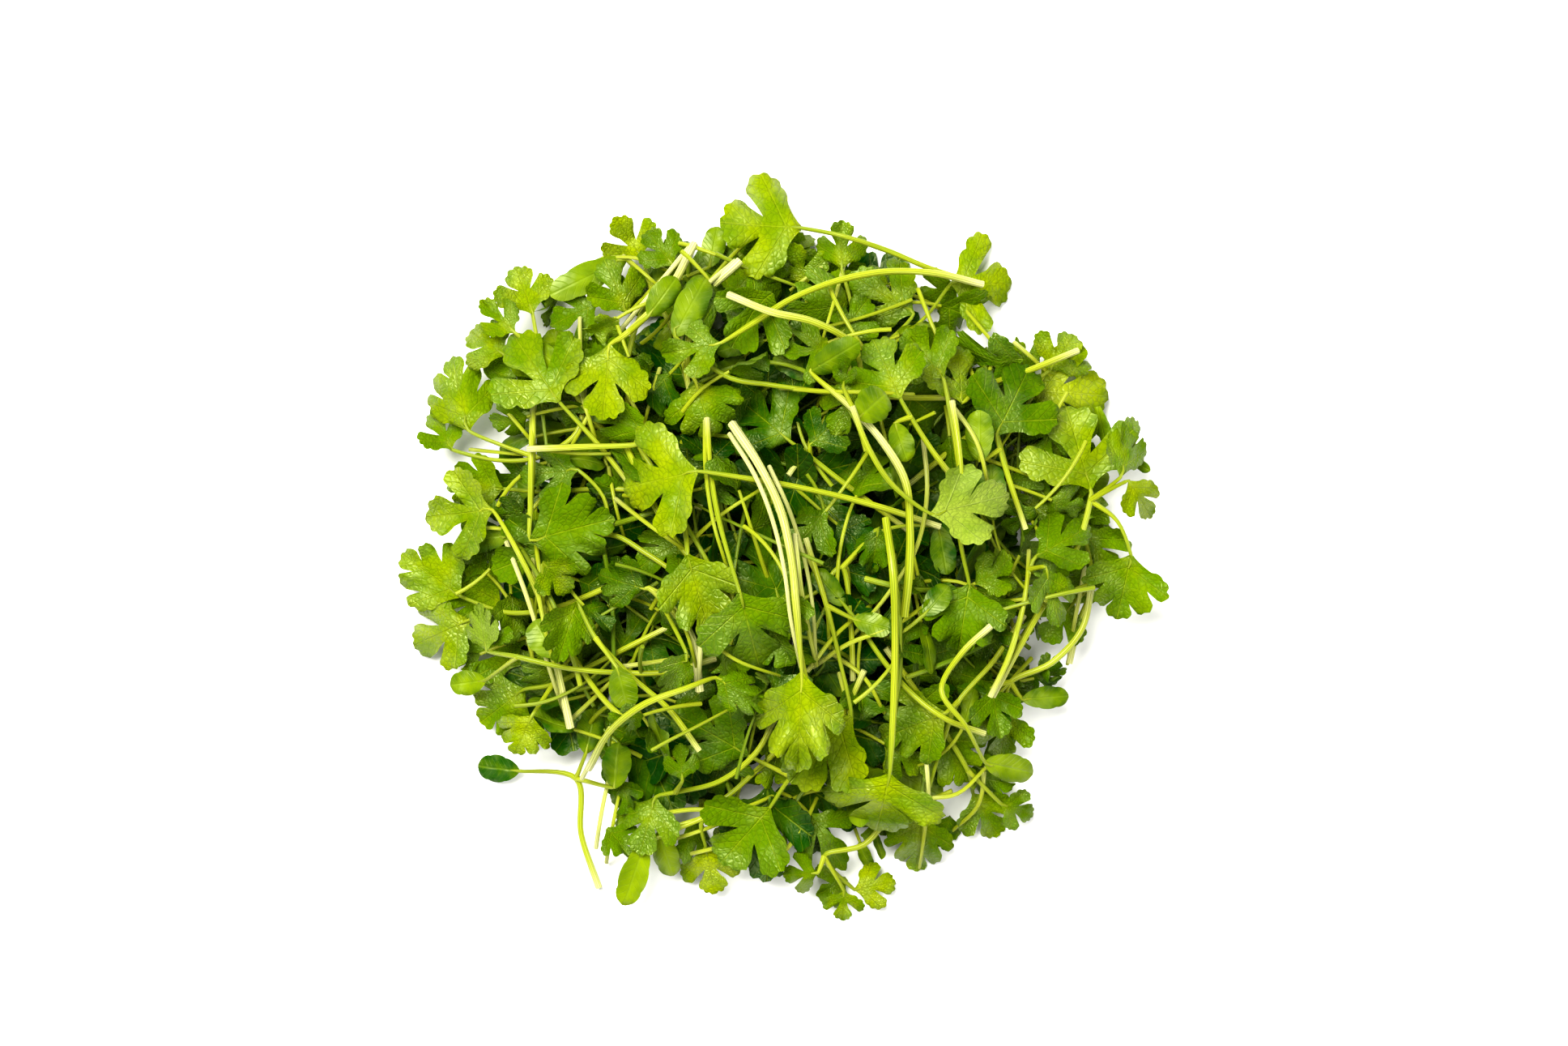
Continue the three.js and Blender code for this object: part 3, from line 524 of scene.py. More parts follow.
sprig("rim_west_round", 0.7, 1, [[-14, 8], [-27, 11.5], [-43, 11]], [
    lobed([[-51.5, 11.6]], [-61.2, 12.8], 11),
    seed([[-48, 6], [-50, 3]], [-60, 1.6], 5),
])
sprig("rim_west_high", 0.8, 1, [[-36, 31], [-37.5, 22], [-45, 17.4]], [
    lobed([[-53, 17], [-61.2, 19]], [-65, 25.6], 8),
    lobed([[-51, 19.5], [-57.8, 22.5]], [-60.8, 34.8], 12.5),
])
sprig("rim_north_west", 0.6, 1, [[-28, 17], [-37, 28], [-44.5, 37]], [
    lobed([[-51, 36.5]], [-57.2, 40.8], 10),
    lobed([[-45.8, 44.3]], [-48.8, 52.4], 10),
    lobed([[-48.8, 40.5]], [-54.8, 46.2], 7),
])
sprig("rim_north_left", 0.6, 1, [[-16, 28], [-19, 40], [-23.5, 49]], [
    lobed([[-25.5, 55]], [-30, 61.8], 10),
    seed([[-28.5, 54.6]], [-42.6, 47.8], 5.4),
    lobed([[-19.5, 53.3]], [-24.2, 59.4], 8),
    lobed([[-28, 44.5]], [-32, 53.4], 10),
    seed([[-14.5, 50.5], [-12.8, 53.3]], [-11.3, 61], 4.2),
])

# Deep blades seen between the upper ones
sprig("deep_north", 0.85, 1, [[24, 4], [13, 12], [6, 17.5]], [
    lobed([[2.3, 20.3]], [-6.3, 27.5], 14),
    lobed([[6, 19.5]], [11.6, 24.8], 9),
])
sprig("deep_middle", 0.9, 1, [[14, -24], [13.4, -12], [12, -3]], [
    lobed([[6, -8.6], [1, -9.8]], [-5, 4], 13),
    seed([[20, 4], [29.8, 4.6]], [31.4, -4.4], 4.6),
    lobed([[18.6, 4.4]], [17.4, -3.4], 7),
])
sprig("deep_west", 0.85, 1, [[-12, -9], [-22, -2], [-31, 3]], [
    lobed([[-40, 1.5]], [-52, -3.4], 14),
    lobed([[-33, 12], [-37, 15]], [-47, 14.2], 9),
])
sprig("deep_south", 0.85, 1, [[16, -22], [10, -34], [2.5, -42]], [
    lobed([[-1.5, -48]], [-9.8, -57.4], 17),
    lobed([[-5.5, -38]], [-18, -30.5], 13),
])
sprig("deep_south_west", 0.9, 1, [[0, -30], [-3.5, -36.8], [-12, -43.5], [-19, -45]], [
    lobed([[-22.8, -46]], [-25.5, -55.8], 11),
    lobed([[-17.6, -42.5]], [-18, -36.4], 6),
])

# Upper sprigs, west half
sprig("west_round", 0.95, 1.1, [[-45.5, 28], [-45.6, 18], [-45.8, 8.3]], [
    lobed([[-45.8, 2]], [-31.8, 5.6], 16),
])
sprig("west_pale_pair", 0.95, 1.35, [[-38.6, -33], [-40.5, -24], [-43.6, -10]], [
    lobed([[-47, -2], [-53, 7.6]], [-64.6, 6.4], 15),
    seed([[-41.2, -19.5]], [-45, -12.8], 6),
    lobed([[-43.2, -2]], [-38.8, -7.2], 8),
])
sprig("west_long", 0.95, 1, [
    [-11.3, -19.8], [-19.5, -22.2], [-30, -22.4], [-40.5, -21.3], [-48, -19.5],
], [
    lobed([[-54, -18.6]], [-55.6, -10.6], 6),
    seed([[-52, -22], [-54.6, -24.2]], [-61.4, -25.2], 4.4),
])
sprig("west_inner", 0.95, 1, [[-14.4, -36.8], [-21.6, -27.2], [-27.6, -22.4], [-33.5, -16]], [
    lobed([[-37, -9.4]], [-40, -19.2], 9),
    seed([[-29.4, -21.4]], [-27.4, -29], 5),
])
sprig("west_stump", 0.95, 1.5, [[-14.3, -25.8], [-15, -18], [-18, -11.6], [-22.4, -7.6]], [
    lobed([[-24.6, -6.9]], [-32.4, -4.6], 9),
    lobed([[-19.4, -15.4], [-16.6, -18.6]], [-20.6, -26], 6),
])
sprig("west_curl", 0.95, 1.2, [[-35.1, -40.5], [-30.2, -32.4], [-23.9, -27.6], [-16.5, -24.8]], [
    lobed([[-11.3, -23]], [-3, -28.4], 7),
])
sprig("west_large", 0.95, 1, [[-27, 11.9], [-29.5, 15.4], [-33, 19.5]], [
    lobed([[-40.4, 27.6]], [-48.4, 39], 17),
])
sprig("west_cross", 1, 1.1, [[-46.2, 18.8], [-36, 19.2], [-26, 19.6]], [
    lobed([[-23.2, 21.4]], [-34.4, 26], 6.4),
])

# Upper sprigs, north side
sprig("north_far", 0.9, 1, [[36.8, 50.3], [27.8, 53], [19.5, 56.3], [12, 58.5]], [
    lobed([[4.4, 60.2]], [-9.4, 61], 18),
])
sprig("north_pale", 1, 1.4, [[-15.6, 57.3], [-21.3, 46.5], [-27.6, 40.4]], [
    lobed([[-31, 38]], [-32, 25.4], 14),
    seed([[-23.8, 43.4]], [-18.6, 50.6], 4.6),
])
sprig("north_thick", 1, 1.35, [[-7, 53.9], [-13.5, 47.3], [-16.5, 42], [-16.8, 36]], [
    lobed([[-15, 31]], [-12.4, 22.2], 14),
])
sprig("north_long", 1, 1, [[33, 28.5], [21, 28.5], [3, 30], [-9.8, 32.4]], [
    seed([[-15.8, 35], [-18.9, 39.6]], [-13.2, 50.4], 5.6),
])
sprig("north_arch", 1, 1.2, [
    [38.4, 49.8], [27.9, 51.9], [20.4, 51.9], [12, 50.3], [3.6, 47.1], [-5, 41.6],
], [
    lobed([[-10.4, 38.2]], [-20.4, 36.4], 10),
])
sprig("north_bow", 1, 1.3, [[-9, 47.1], [-2.1, 44], [8.4, 41.4], [14, 37.8]], [
    lobed([[16.2, 34.2], [15.4, 31]], [10.6, 22.4], 9),
])

# Upper sprigs, east half
sprig("east_big", 0.95, 1.15, [[39.8, -27], [46.5, -15], [55.5, 0], [58.4, 9.4]], [
    lobed([[58.4, 11.6]], [54.4, 25.4], 20),
    lobed([[62.4, 7.4], [66, -0.9]], [63.8, -11.6], 15),
    lobed([[63.6, 13.6]], [66.4, 24], 7),
    lobed([[65, 13]], [69.4, 6.8], 7),
])
sprig("east_middle", 0.95, 1, [[39.3, -27], [42.8, -19.5], [45.8, -9], [46.8, -3.4]], [
    lobed([[48, -1]], [57.4, 4.2], 10),
    lobed([[49.4, -3]], [52, -13], 8),
])
sprig("east_upper", 1, 1.1, [[56.3, 37.5], [43.5, 32.3], [38, 30.4]], [
    lobed([[34.2, 27.4]], [33.6, 37], 12),
])
sprig("east_dark", 1, 1, [[46, 4], [42.8, 13.5], [41.2, 18.8]], [
    lobed([[40.6, 21.6]], [46.4, 33.2], 16),
    seed([[37.4, 16.6]], [37.2, 26], 5),
])
sprig("east_stalk", 1, 1, [[36, 6], [33.4, 15.6], [32.4, 22]], [
    lobed([[31.4, 27.6], [30.6, 32]], [24.4, 40], 12),
])
sprig("east_leaf", 1, 1, [[33, 12.6], [27.4, 19.8], [24.4, 24.6]], [
    lobed([[22.4, 28]], [18, 38], 13),
    seed([[21.4, 23.4]], [23.8, 16.4], 4.4),
])
sprig("east_drop", 1, 1, [[32.1, 27.6], [33.8, 14], [33.5, 3]], [
    lobed([[35.4, -6.2]], [33.6, -17.6], 15),
])

# Upper sprigs, south side
sprig("south_bare", 1, 1, [[38.3, -33.8], [30.8, -30.8], [22.5, -24], [15, -13.5]], [
    seed([[12.4, -10]], [6.6, -3.4], 4),
    seed([[20, -16], [27, -11.7]], [31.6, -6.4], 4.2),
])
sprig("south_slant", 1, 1.1, [[39.3, -13.8], [34.5, -18], [30, -25.5]], [
    seed([[34.5, -32], [38.3, -39]], [47.5, -41.2], 5),
])
sprig("south_yellow", 1, 1, [[5.2, 2.4], [6.4, -3], [9, -10]], [
    lobed([[12, -22.5], [13.6, -30.4]], [3.4, -41.6], 17),
    seed([[14, -12.5]], [21, -14.4], 4),
])

# Topmost sprigs over the middle
sprig("middle_left", 1, 1, [[-18.8, 14], [-16.8, 6], [-16.6, 2]], [
    lobed([[-16.4, -0.6]], [-12.6, -14], 14),
])
sprig("middle_heart", 1, 1, [[-13, 24.4], [-12.3, 15], [-10.4, 4.6]], [
    lobed([[-6.8, -7.4]], [-3.6, -20], 17),
])
sprig("middle_bright", 1, 1.1, [[30, 4.5], [18, 8.4], [6, 11.3], [-6, 13.4]], [
    lobed([[-14.6, 14.6]], [-27, 11.8], 19),
])
sprig("middle_thick", 1, 1.45, [[23.3, -12], [24.3, 0], [23.4, 12.6], [19.5, 19.5], [13.8, 26]], [
    seed([[6, 33]], [15, 38.2], 5),
    lobed([[12, 30]], [12.4, 35], 4),
    seed([[14.6, 24.2]], [19.8, 28.8], 6.4),
])
sprig("middle_pale", 1, 1, [[13.5, 26.3], [15.3, 21], [21, 12]], [
    lobed([[28, 6.8]], [41.2, 10], 13),
])
sprig("middle_upright", 1, 1.35, [[19.8, 6], [21, -3], [21.5, -18], [21, -34]], [
    lobed([[20.6, -41]], [18.6, -51], 20),
])
sprig("middle_white", 1, 1.5, [[-8.3, 23.3], [-3.8, 16.5], [0, 9], [2.3, 0], [3.3, -9]], [
    lobed([[4.4, -22]], [3.8, -38.4], 15),
])

# The laid sprigs, the height map once the inner ones lie, and the middle of them all in plan
plants = []
for each in sprigs:
    plants.append((each["name"], *lay_sprig(each)))
    if each["name"].startswith("inner"):
        low_laid = laid.copy()
blades_laid = [blade for _, _, blades in plants for blade in blades]
corners = np.array([blade.plan(u, v) for blade in blades_laid for u, v in blade.outline])
middle = (corners.min(0) + corners.max(0)) / 2

# Bare lengths of stem that cross the heap on top: how thick, how pale, and points in plan
BARE_STEMS = [
    (0.95, 0.35, [(-45.5, 28), (-45.2, 19), (-45.6, 10)]),
    (1.0, 0.4, [(-36.8, 31), (-35.2, 25), (-33.5, 20)]),
    (0.9, 0.35, [(-33.5, 28), (-37, 21.5), (-40.5, 16)]),
    (0.85, 0.3, [(-28.5, 30), (-24.2, 23)]),
    (0.9, 0.3, [(-22, 34), (-24.8, 23.5)]),
    (0.85, 0.45, [(-37, 43.5), (-35.2, 40), (-36.5, 34.5)]),
    (0.9, 0.3, [(-53, 29), (-47, 22), (-43, 17)]),
    (0.9, 0.3, [(-13.4, 24), (-13, 13), (-11.6, 5), (-9.2, -3)]),
    (0.95, 0.35, [(-30, 9.6), (-23, 4.4), (-16.6, 0)]),
    (0.9, 0.3, [(-17.6, 0.2), (-9, 7.8), (-3, 11.4)]),
    (0.85, 0.35, [(-57.5, 4.6), (-52, 4.6), (-46, 3.6)]),
    (0.8, 0.25, [(-31.5, 15.5), (-30, 8), (-28.2, 1)]),
    (0.85, 0.3, [(-29, 55.4), (-22, 49.2)]),
    (0.8, 0.35, [(-33, 55), (-28, 55.2), (-20, 52.2)]),
    (0.8, 0.4, [(12.4, 53.4), (10.4, 46), (8, 38)]),
    (0.85, 0.45, [(9.8, 54.2), (2.4, 48.8)]),
    (0.85, 0.3, [(34, 47), (38, 41.6), (44.4, 33.8)]),
    (0.9, 0.35, [(44.3, 39), (47, 36), (51.6, 32.6)]),
    (0.9, 0.3, [(30.6, 33), (31.4, 26), (33, 20.4)]),
    (1.0, 0.5, [(32, 27.4), (36, 22), (39, 12)]),
    (1.0, 0.55, [(27, 20.5), (27.6, 12), (26.8, 4), (24.3, -1.4), (21.5, -6), (17.9, -11.2), (14, -15.6)]),
    (0.9, 0.25, [(36.6, 17.8), (48.4, 13.6)]),
    (0.95, 0.35, [(0, 30.2), (10, 29.2), (25, 28.8)]),
    (0.8, 0.25, [(-58, 19), (-53, 17), (-46.6, 17.8)]),
    (1.0, 0.4, [(-45.8, -1), (-43.6, -11), (-41.4, -21)]),
    (1.0, 0.45, [(-28.8, -21.4), (-23, -18.8), (-16.4, -19.4)]),
    (0.9, 0.3, [(-23.4, -7), (-18, -12), (-14.8, -21.6)]),
    (1.1, 0.75, [(-13.8, -13), (-14.6, -26)]),
    (1.0, 0.4, [(-39, -32), (-30, -23.4)]),
    (0.8, 0.25, [(-14.6, -14.4), (-9, -19), (0.4, -22.8)]),
    (1.0, 0.4, [(-24.6, -49.8), (-19, -48.2), (-10, -48.8), (0, -45.6)]),
    (0.9, 0.35, [(-20.4, -54.4), (-9, -50.6)]),
    (0.9, 0.4, [(-18.6, -57.6), (-8, -54.4), (0, -50.6)]),
    (0.95, 0.6, [(-34.2, -56), (-32.6, -47), (-30.8, -39)]),
    (0.85, 0.4, [(-32.4, -59), (-30.8, -51), (-29.4, -44)]),
    (1.0, 0.6, [(-36.6, -42.6), (-31, -32.6)]),
    (0.95, 0.4, [(4.6, 1), (8.4, -7), (9.7, -18)]),
    (1.05, 0.55, [(3.2, 3), (4.6, -9), (7.2, -21)]),
    (0.95, 0.35, [(5.6, -22), (11.6, -14.4), (16.8, -10.4)]),
    (1.0, 0.4, [(6.6, -21.4), (14.6, -16.2), (22, -13.6), (27.6, -9.8)]),
    (0.95, 0.35, [(10, -19), (15, -22), (19.8, -30)]),
    (0.9, 0.3, [(11.4, -22.6), (13.8, -32)]),
    (0.95, 0.3, [(46.8, 0), (45, -13), (40.6, -25)]),
    (1.05, 0.65, [(27.4, -35.6), (28.2, -46)]),
    (0.95, 0.4, [(38.8, -40.6), (37.6, -48), (32.6, -53.4)]),
    (0.95, 0.4, [(26.8, -46.2), (33, -45.6), (38.8, -40.8)]),
    (1.0, 0.4, [(-0.4, -58.4), (4, -53), (7.4, -46.6)]),
    (0.95, 0.85, [(-8.8, 21.5), (-5.6, 16.6), (-3, 11.3), (0.5, 1), (2.2, -11), (4.2, -21)]),
    (0.9, 0.7, [(-1.5, 15.5), (1.2, 10), (4.3, 1), (6.2, -8), (7, -19)]),
    (1.05, 0.85, [(-16.2, 57.1), (-22, 49.4), (-30, 39.9)]),
    (0.95, 0.7, [(-8, 54), (-12.4, 49.6), (-16.9, 44), (-18.4, 37)]),
    (1.0, 0.7, [(-50.6, 1.6), (-46.4, -9), (-43, -19.6), (-40, -30)]),
    (0.85, 0.35, [(27.8, -50), (28.4, -56), (26.8, -60)]),
    (0.8, 0.25, [(41, -9.4), (51, -8.2), (60, -5.6)]),
    (0.95, 0.55, [(57.6, -3), (55.8, -12), (54.6, -21.4)]),
]

# Leaves between the laid sprigs: base and tip in plan, how wide they look, and tone; seed leaves apart
LOOSE_LEAVES = [
    ((-40.5, 50.5), (-44, 42.5), 0.6, 0.35), ((-29.5, 45), (-24, 50.5), 0.8, 0.35),
    ((-12.5, 50), (-6.5, 41), 0.45, 0.35), ((-1, 48), (-8.5, 39), 0.95, 0.5),
    ((-6, 52.5), (2, 47), 0.8, 0.4), ((-14, 30.5), (-13.5, 41), 0.5, 0.5),
    ((-27.5, 36), (-24.5, 28.5), 0.9, 0.35), ((-31, 18), (-18, 18.5), 0.8, 0.25),
    ((-55.5, 35), (-50, 31.5), 0.9, 0.5), ((-42, 28.5), (-37.5, 22), 0.9, 0.35),
    ((-45.5, 13.5), (-54.5, 13), 0.9, 0.35), ((-47, 6), (-54, 7.5), 0.7, 0.3),
    ((-7, 11), (-9.6, 19.5), 0.55, 0.4), ((-6, 3.6), (3.4, 6.4), 0.9, 0.5),
    ((-17, 2), (-25, -1.6), 0.9, 0.4), ((-26, 12), (-33.5, 5.5), 0.8, 0.22),
    ((-14, 11.5), (-6, 13.5), 0.7, 0.25), ((-20, 33), (-26, 27), 0.8, 0.25),
    ((-29.5, 43), (-34.5, 39.5), 0.7, 0.55), ((-9, 33), (-2, 36), 0.7, 0.35),
    ((5, 49.5), (3, 57.5), 0.9, 0.65), ((14, 47), (6, 43), 0.8, 0.5),
    ((9.5, 38.5), (1.2, 35), 0.6, 0.45), ((22.5, 40), (28, 43.5), 0.6, 0.68),
    ((30.5, 46), (40, 43), 0.8, 0.45), ((23, 30), (33, 22), 1, 0.3), ((33, 31), (35.5, 25), 0.9, 0.45),
    ((39, 31), (37, 23), 0.8, 0.25), ((45.5, 36), (37, 33.5), 0.8, 0.4),
    ((32, 21.5), (32.5, 14.5), 0.6, 0.4), ((14.5, 10), (19, 19), 0.5, 0.42),
    ((6, 18.5), (6.5, 11.5), 0.5, 0.28), ((8, 18), (10, 11), 0.9, 0.2),
    ((0.5, 12.5), (1, 18.8), 0.7, 0.42), ((9, 7.5), (3.5, 1), 0.7, 0.32),
    ((43, 14.5), (45, 7), 0.45, 0.4), ((48, 8), (42.5, 3.5), 0.8, 0.3),
    ((45, -1), (49.5, 6), 0.6, 0.4), ((51, 9.5), (57, 7), 0.8, 0.5), ((51.5, 24.5), (49, 16), 1, 0.45),
    ((48, 33.5), (44.5, 39.5), 0.5, 0.6), ((11, 5), (17, 0.5), 0.8, 0.15),
    ((21, 50), (15, 53), 0.8, 0.6), ((-55, -4), (-60.5, 0.5), 0.9, 0.45),
    ((-54, -3.5), (-50, 1.5), 0.8, 0.35), ((-50, -8), (-48.5, -16.5), 0.7, 0.5),
    ((-54, -18), (-52, -11.5), 0.6, 0.5), ((-37, -5.5), (-27.5, -9.5), 1, 0.25),
    ((-22, -11), (-16.5, -15), 0.7, 0.35), ((-40, -21.5), (-46, -27.5), 0.8, 0.5),
    ((-25, -31), (-29.5, -40), 0.9, 0.25), ((-24.5, -30), (-30, -32), 0.7, 0.45),
    ((-24, -32.5), (-20.5, -38.5), 0.5, 0.45), ((-29.5, -43), (-27.5, -49), 0.7, 0.35),
    ((-12, -39), (-6, -46), 0.8, 0.3), ((-17, -51), (-12, -58), 0.8, 0.45),
    ((-3.8, -22), (0, -30), 0.8, 0.55), ((-8.5, -17), (-11.5, -23.5), 0.6, 0.4),
    ((-36, -10), (-31, -14.5), 0.9, 0.2), ((-19, -28), (-11.5, -31.5), 0.9, 0.25),
    ((-32, -52), (-27.5, -56.5), 0.7, 0.4), ((-56, -19.5), (-61.5, -22), 0.8, 0.55),
    ((13, -9), (11.5, -15), 0.7, 0.35), ((2, -7), (3, -14.5), 0.7, 0.5),
    ((-1, -14), (3, -20.5), 0.9, 0.4), ((26, -4.5), (27.5, -11), 0.6, 0.4),
    ((22, -19.5), (26, -12.5), 0.8, 0.35), ((30, -22), (40, -24.5), 1, 0.3),
    ((38.5, -14.5), (43, -20.5), 0.8, 0.3), ((36.5, -6), (43.5, -2.3), 0.9, 0.5),
    ((37, -7), (44, -11.5), 0.9, 0.5), ((50, -0.5), (51.5, -6.5), 0.6, 0.45),
    ((45.5, -11), (50.5, -14), 0.5, 0.35), ((42, -24), (46, -28.5), 0.8, 0.3),
    ((48, -24), (54, -22.3), 0.5, 0.3), ((46.5, -22.5), (52, -25.5), 0.5, 0.3),
    ((25, -28), (33, -31), 0.9, 0.55), ((15, -23), (16, -31), 0.7, 0.25),
    ((22, -21), (26.5, -29), 0.8, 0.3), ((20, -36), (27, -40.5), 0.9, 0.65),
    ((30, -34), (35.5, -43), 1, 0.55), ((36, -41.5), (43.5, -44.5), 0.8, 0.5),
    ((6, -49.5), (11, -56.5), 0.9, 0.4), ((20.5, -50), (14, -52.7), 0.8, 0.5),
    ((32.5, -50), (31, -56), 0.9, 0.35), ((13, -62), (7.6, -65), 0.8, 0.5),
    ((3, -46.5), (-4, -50.5), 0.8, 0.35), ((1, -34), (-1, -43.5), 0.8, 0.65),
    ((12.5, -31.5), (17, -40.5), 1, 0.8), ((41.5, -26.5), (36.5, -32), 0.8, 0.25),
    ((-34, 46), (-42, 43), 0.8, 0.4), ((34, 50), (27, 47.5), 0.8, 0.45),
    ((-46.5, 25), (-53, 23), 0.7, 0.5),
]
LOOSE_SEED_LEAVES = [
    ((-19.5, 42.3), (-23, 37.5), 1, 0.6), ((-19.3, 44.5), (-14.5, 51), 0.8, 0.55),
    ((-45.5, 21.3), (-52.5, 20), 0.9, 0.3), ((-40.5, 17), (-32.5, 17.2), 0.6, 0.45),
    ((-31.8, 15.8), (-29, 7.5), 0.6, 0.35), ((-46, -0.5), (-45, 7), 0.8, 0.6),
    ((20.8, 17), (23, 10.5), 0.6, 0.35), ((64.5, 17.5), (69.8, 15.8), 0.9, 0.45),
    ((60, 27), (62, 19.5), 0.8, 0.5), ((-39.5, -28), (-46.5, -28.8), 0.7, 0.3),
    ((-38, -33.5), (-46, -31.5), 0.7, 0.3), ((-20.5, -39), (-22.8, -30.5), 0.6, 0.5),
    ((-12.5, -32.5), (-9, -26.5), 0.6, 0.5), ((26.5, -13), (29, -22), 0.6, 0.45),
    ((34.8, -32), (36.6, -26), 1, 0.65), ((15.5, -55), (17.3, -60), 0.9, 0.5),
    ((18.3, -53), (19.7, -58), 0.8, 0.5),
]
rng = np.random.default_rng(20)

# About a whole turn in radians, for random headings and waves
TURN = 6.283

# Leaf outlines in leaf lengths: from base to tip, each point with the bulge of the edge after it
CUT_EDGE = [
    (0.0, 0.03, -0.06), (0.17, 0.31, 0.2), (0.27, 0.49, 0.3), (0.42, 0.6, 0.32), (0.57, 0.6, 0.32),
    (0.69, 0.5, 0.24), (0.71, 0.4, -0.03), (0.49, 0.12, -0.02), (0.66, 0.22, 0.1), (0.78, 0.3, 0.3),
    (0.89, 0.23, 0.32), (0.96, 0.1, 0.3),
]
FAN_EDGE = [
    (0.0, 0.03, -0.04), (0.18, 0.33, 0.18), (0.28, 0.5, 0.3), (0.43, 0.585, 0.32), (0.575, 0.56, 0.24),
    (0.6, 0.46, 0.0), (0.5, 0.31, -0.03), (0.64, 0.385, 0.12), (0.74, 0.42, 0.3), (0.83, 0.34, 0.24),
    (0.84, 0.25, 0.0), (0.74, 0.12, -0.02), (0.85, 0.18, 0.12), (0.93, 0.18, 0.26), (0.98, 0.08, 0.26),
]
TRIDENT_EDGE = [
    (0.0, 0.03, -0.1), (0.14, 0.26, 0.2), (0.24, 0.46, 0.3), (0.38, 0.58, 0.32), (0.53, 0.61, 0.32),
    (0.66, 0.54, 0.24), (0.68, 0.45, -0.02), (0.41, 0.1, -0.02), (0.6, 0.17, 0.04), (0.75, 0.28, 0.3),
    (0.87, 0.23, 0.32), (0.95, 0.1, 0.3),
]
LOBED_EDGES = [CUT_EDGE, FAN_EDGE, TRIDENT_EDGE, CUT_EDGE]
SEED_EDGE = [(0.0, 0.035, 0.1), (0.34, 0.2, 0.1), (0.72, 0.205, 0.16), (0.965, 0.09, 0.2)]
EDGE_JITTER = 0.012
TOOTH_POWER = 0.75
TIP_SHARE = 0.49
WELD = 1e-6

# Inner points of a leaf lie in rows, this share of a step apart and this many on each side of the midrib
ROW_SHARE = 0.866
HALF_ROWS = 12
EDGE_CLEAR = 0.6

# Middle of a leaf's lobes, how far they reach from it, and where and which way its side veins go
HUB = 0.3
LOBE_REACH = 0.66
SIDE_VEIN_BASE = 0.18
SIDE_VEIN = (0.5, 0.866)


class Outline:
    """A leaf's flat shape, split into triangles: inner points first, then the points of its edge"""

    def __init__(self, edge, edge_step, inner_step, jitter):
        halves = [self.half(edge, edge_step, jitter, side) for side in (-1, 1)]
        rim = halves[0] + halves[1][::-1]
        inner = self.inside(np.array(rim), inner_step)
        points = [Vector(p) for p in [*inner, *rim]]
        first = len(inner)
        edges = [(first + i, first + (i + 1) % len(rim)) for i in range(len(rim))]
        found, _, faces, origins, _, _ = delaunay_2d_cdt(points, edges, [], 1, WELD)
        assert len(found) == len(points), "an outline crosses itself"
        self.points = np.array([tuple(p) for p in found])
        self.faces = np.array(faces)
        self.is_rim = np.array([origins[i][0] >= first for i in range(len(found))])
        at = {origins[i][0]: i for i in range(len(found))}
        self.rim = np.array([at[first + i] for i in range(len(rim))])
        self.u, self.v = self.points.T

    @staticmethod
    def half(edge, step, jitter, side):
        """Points of one half of the edge, from the base to just before the tip's last tooth ends"""
        at = [(u + jitter * rng.normal(), v + jitter * rng.normal()) for u, v, _ in edge]
        at[0] = edge[0][:2]
        bulge = [b * (1 + 8 * jitter * rng.normal()) for _, _, b in edge]
        at.append((at[-1][0], 0.0))
        points = []
        for i, (p, q) in enumerate(zip(at, at[1:])):
            tip = i == len(at) - 2
            q = (p[0], -p[1]) if tip else q
            long = math.dist(p, q)
            count = max(2, round(long / step))
            normal = (-(q[1] - p[1]), q[0] - p[0])
            for k in range(count):
                t = k / count
                if tip and t > TIP_SHARE:
                    break
                push = bulge[i] * (4 * t * (1 - t)) ** TOOTH_POWER
                points.append((p[0] + (q[0] - p[0]) * t + normal[0] * push,
                               side * (p[1] + (q[1] - p[1]) * t + normal[1] * push)))
        return points

    @staticmethod
    def inside(rim, step):
        """Evenly spread points inside the edge, not too near it, with a row along the midrib"""
        found = []
        for row in range(-HALF_ROWS, HALF_ROWS + 1):
            u = np.arange(0.02 + step / 2 * (row % 2), 1, step)
            found.append(np.stack([u, np.full(len(u), row * step * ROW_SHARE)], 1))
        points = np.concatenate(found)
        near = np.linalg.norm(points[:, None] - rim[None], axis=2).min(1)
        a, b = rim, np.roll(rim, -1, 0)
        crosses = (a[None, :, 1] > points[:, None, 1]) != (b[None, :, 1] > points[:, None, 1])
        with np.errstate(divide="ignore", invalid="ignore"):
            slant = (b[:, 0] - a[:, 0]) / (b[:, 1] - a[:, 1])
            at = a[None, :, 0] + (points[:, None, 1] - a[None, :, 1]) * slant[None]
        within = (crosses & (points[:, None, 0] < at)).sum(1) % 2 == 1
        return points[within & (near > EDGE_CLEAR * step)].tolist()


def lobed_outlines(edge_step, inner_step):
    """Twelve lobed leaves of three kinds, each a little different"""
    return [Outline(LOBED_EDGES[i % 4], edge_step, inner_step, EDGE_JITTER) for i in range(12)]


fine_lobed = lobed_outlines(0.05, 0.075)
fine_seed = [Outline(SEED_EDGE, 0.06, 0.085, EDGE_JITTER / 2) for _ in range(3)]
plain_lobed = lobed_outlines(0.08, 0.12)


def any_of(outlines):
    return outlines[rng.integers(len(outlines))]


def distances(path):
    """Distance of each point from the first one along a path"""
    return np.concatenate([[0], np.cumsum(np.linalg.norm(np.diff(path, axis=0), axis=1))])


# Numbers of the materials on a piece, and what keeps the leaves thin and off the floor
UPPER, UNDER, SEED_SKIN, STEM = range(4)
LEAF_HALF_THICK = 0.13
RIM_HALF_THICK = 0.05
UPPER_LOWEST = 0.5
UNDER_LOWEST = 0.25
SHARP_ANGLE = math.radians(75)


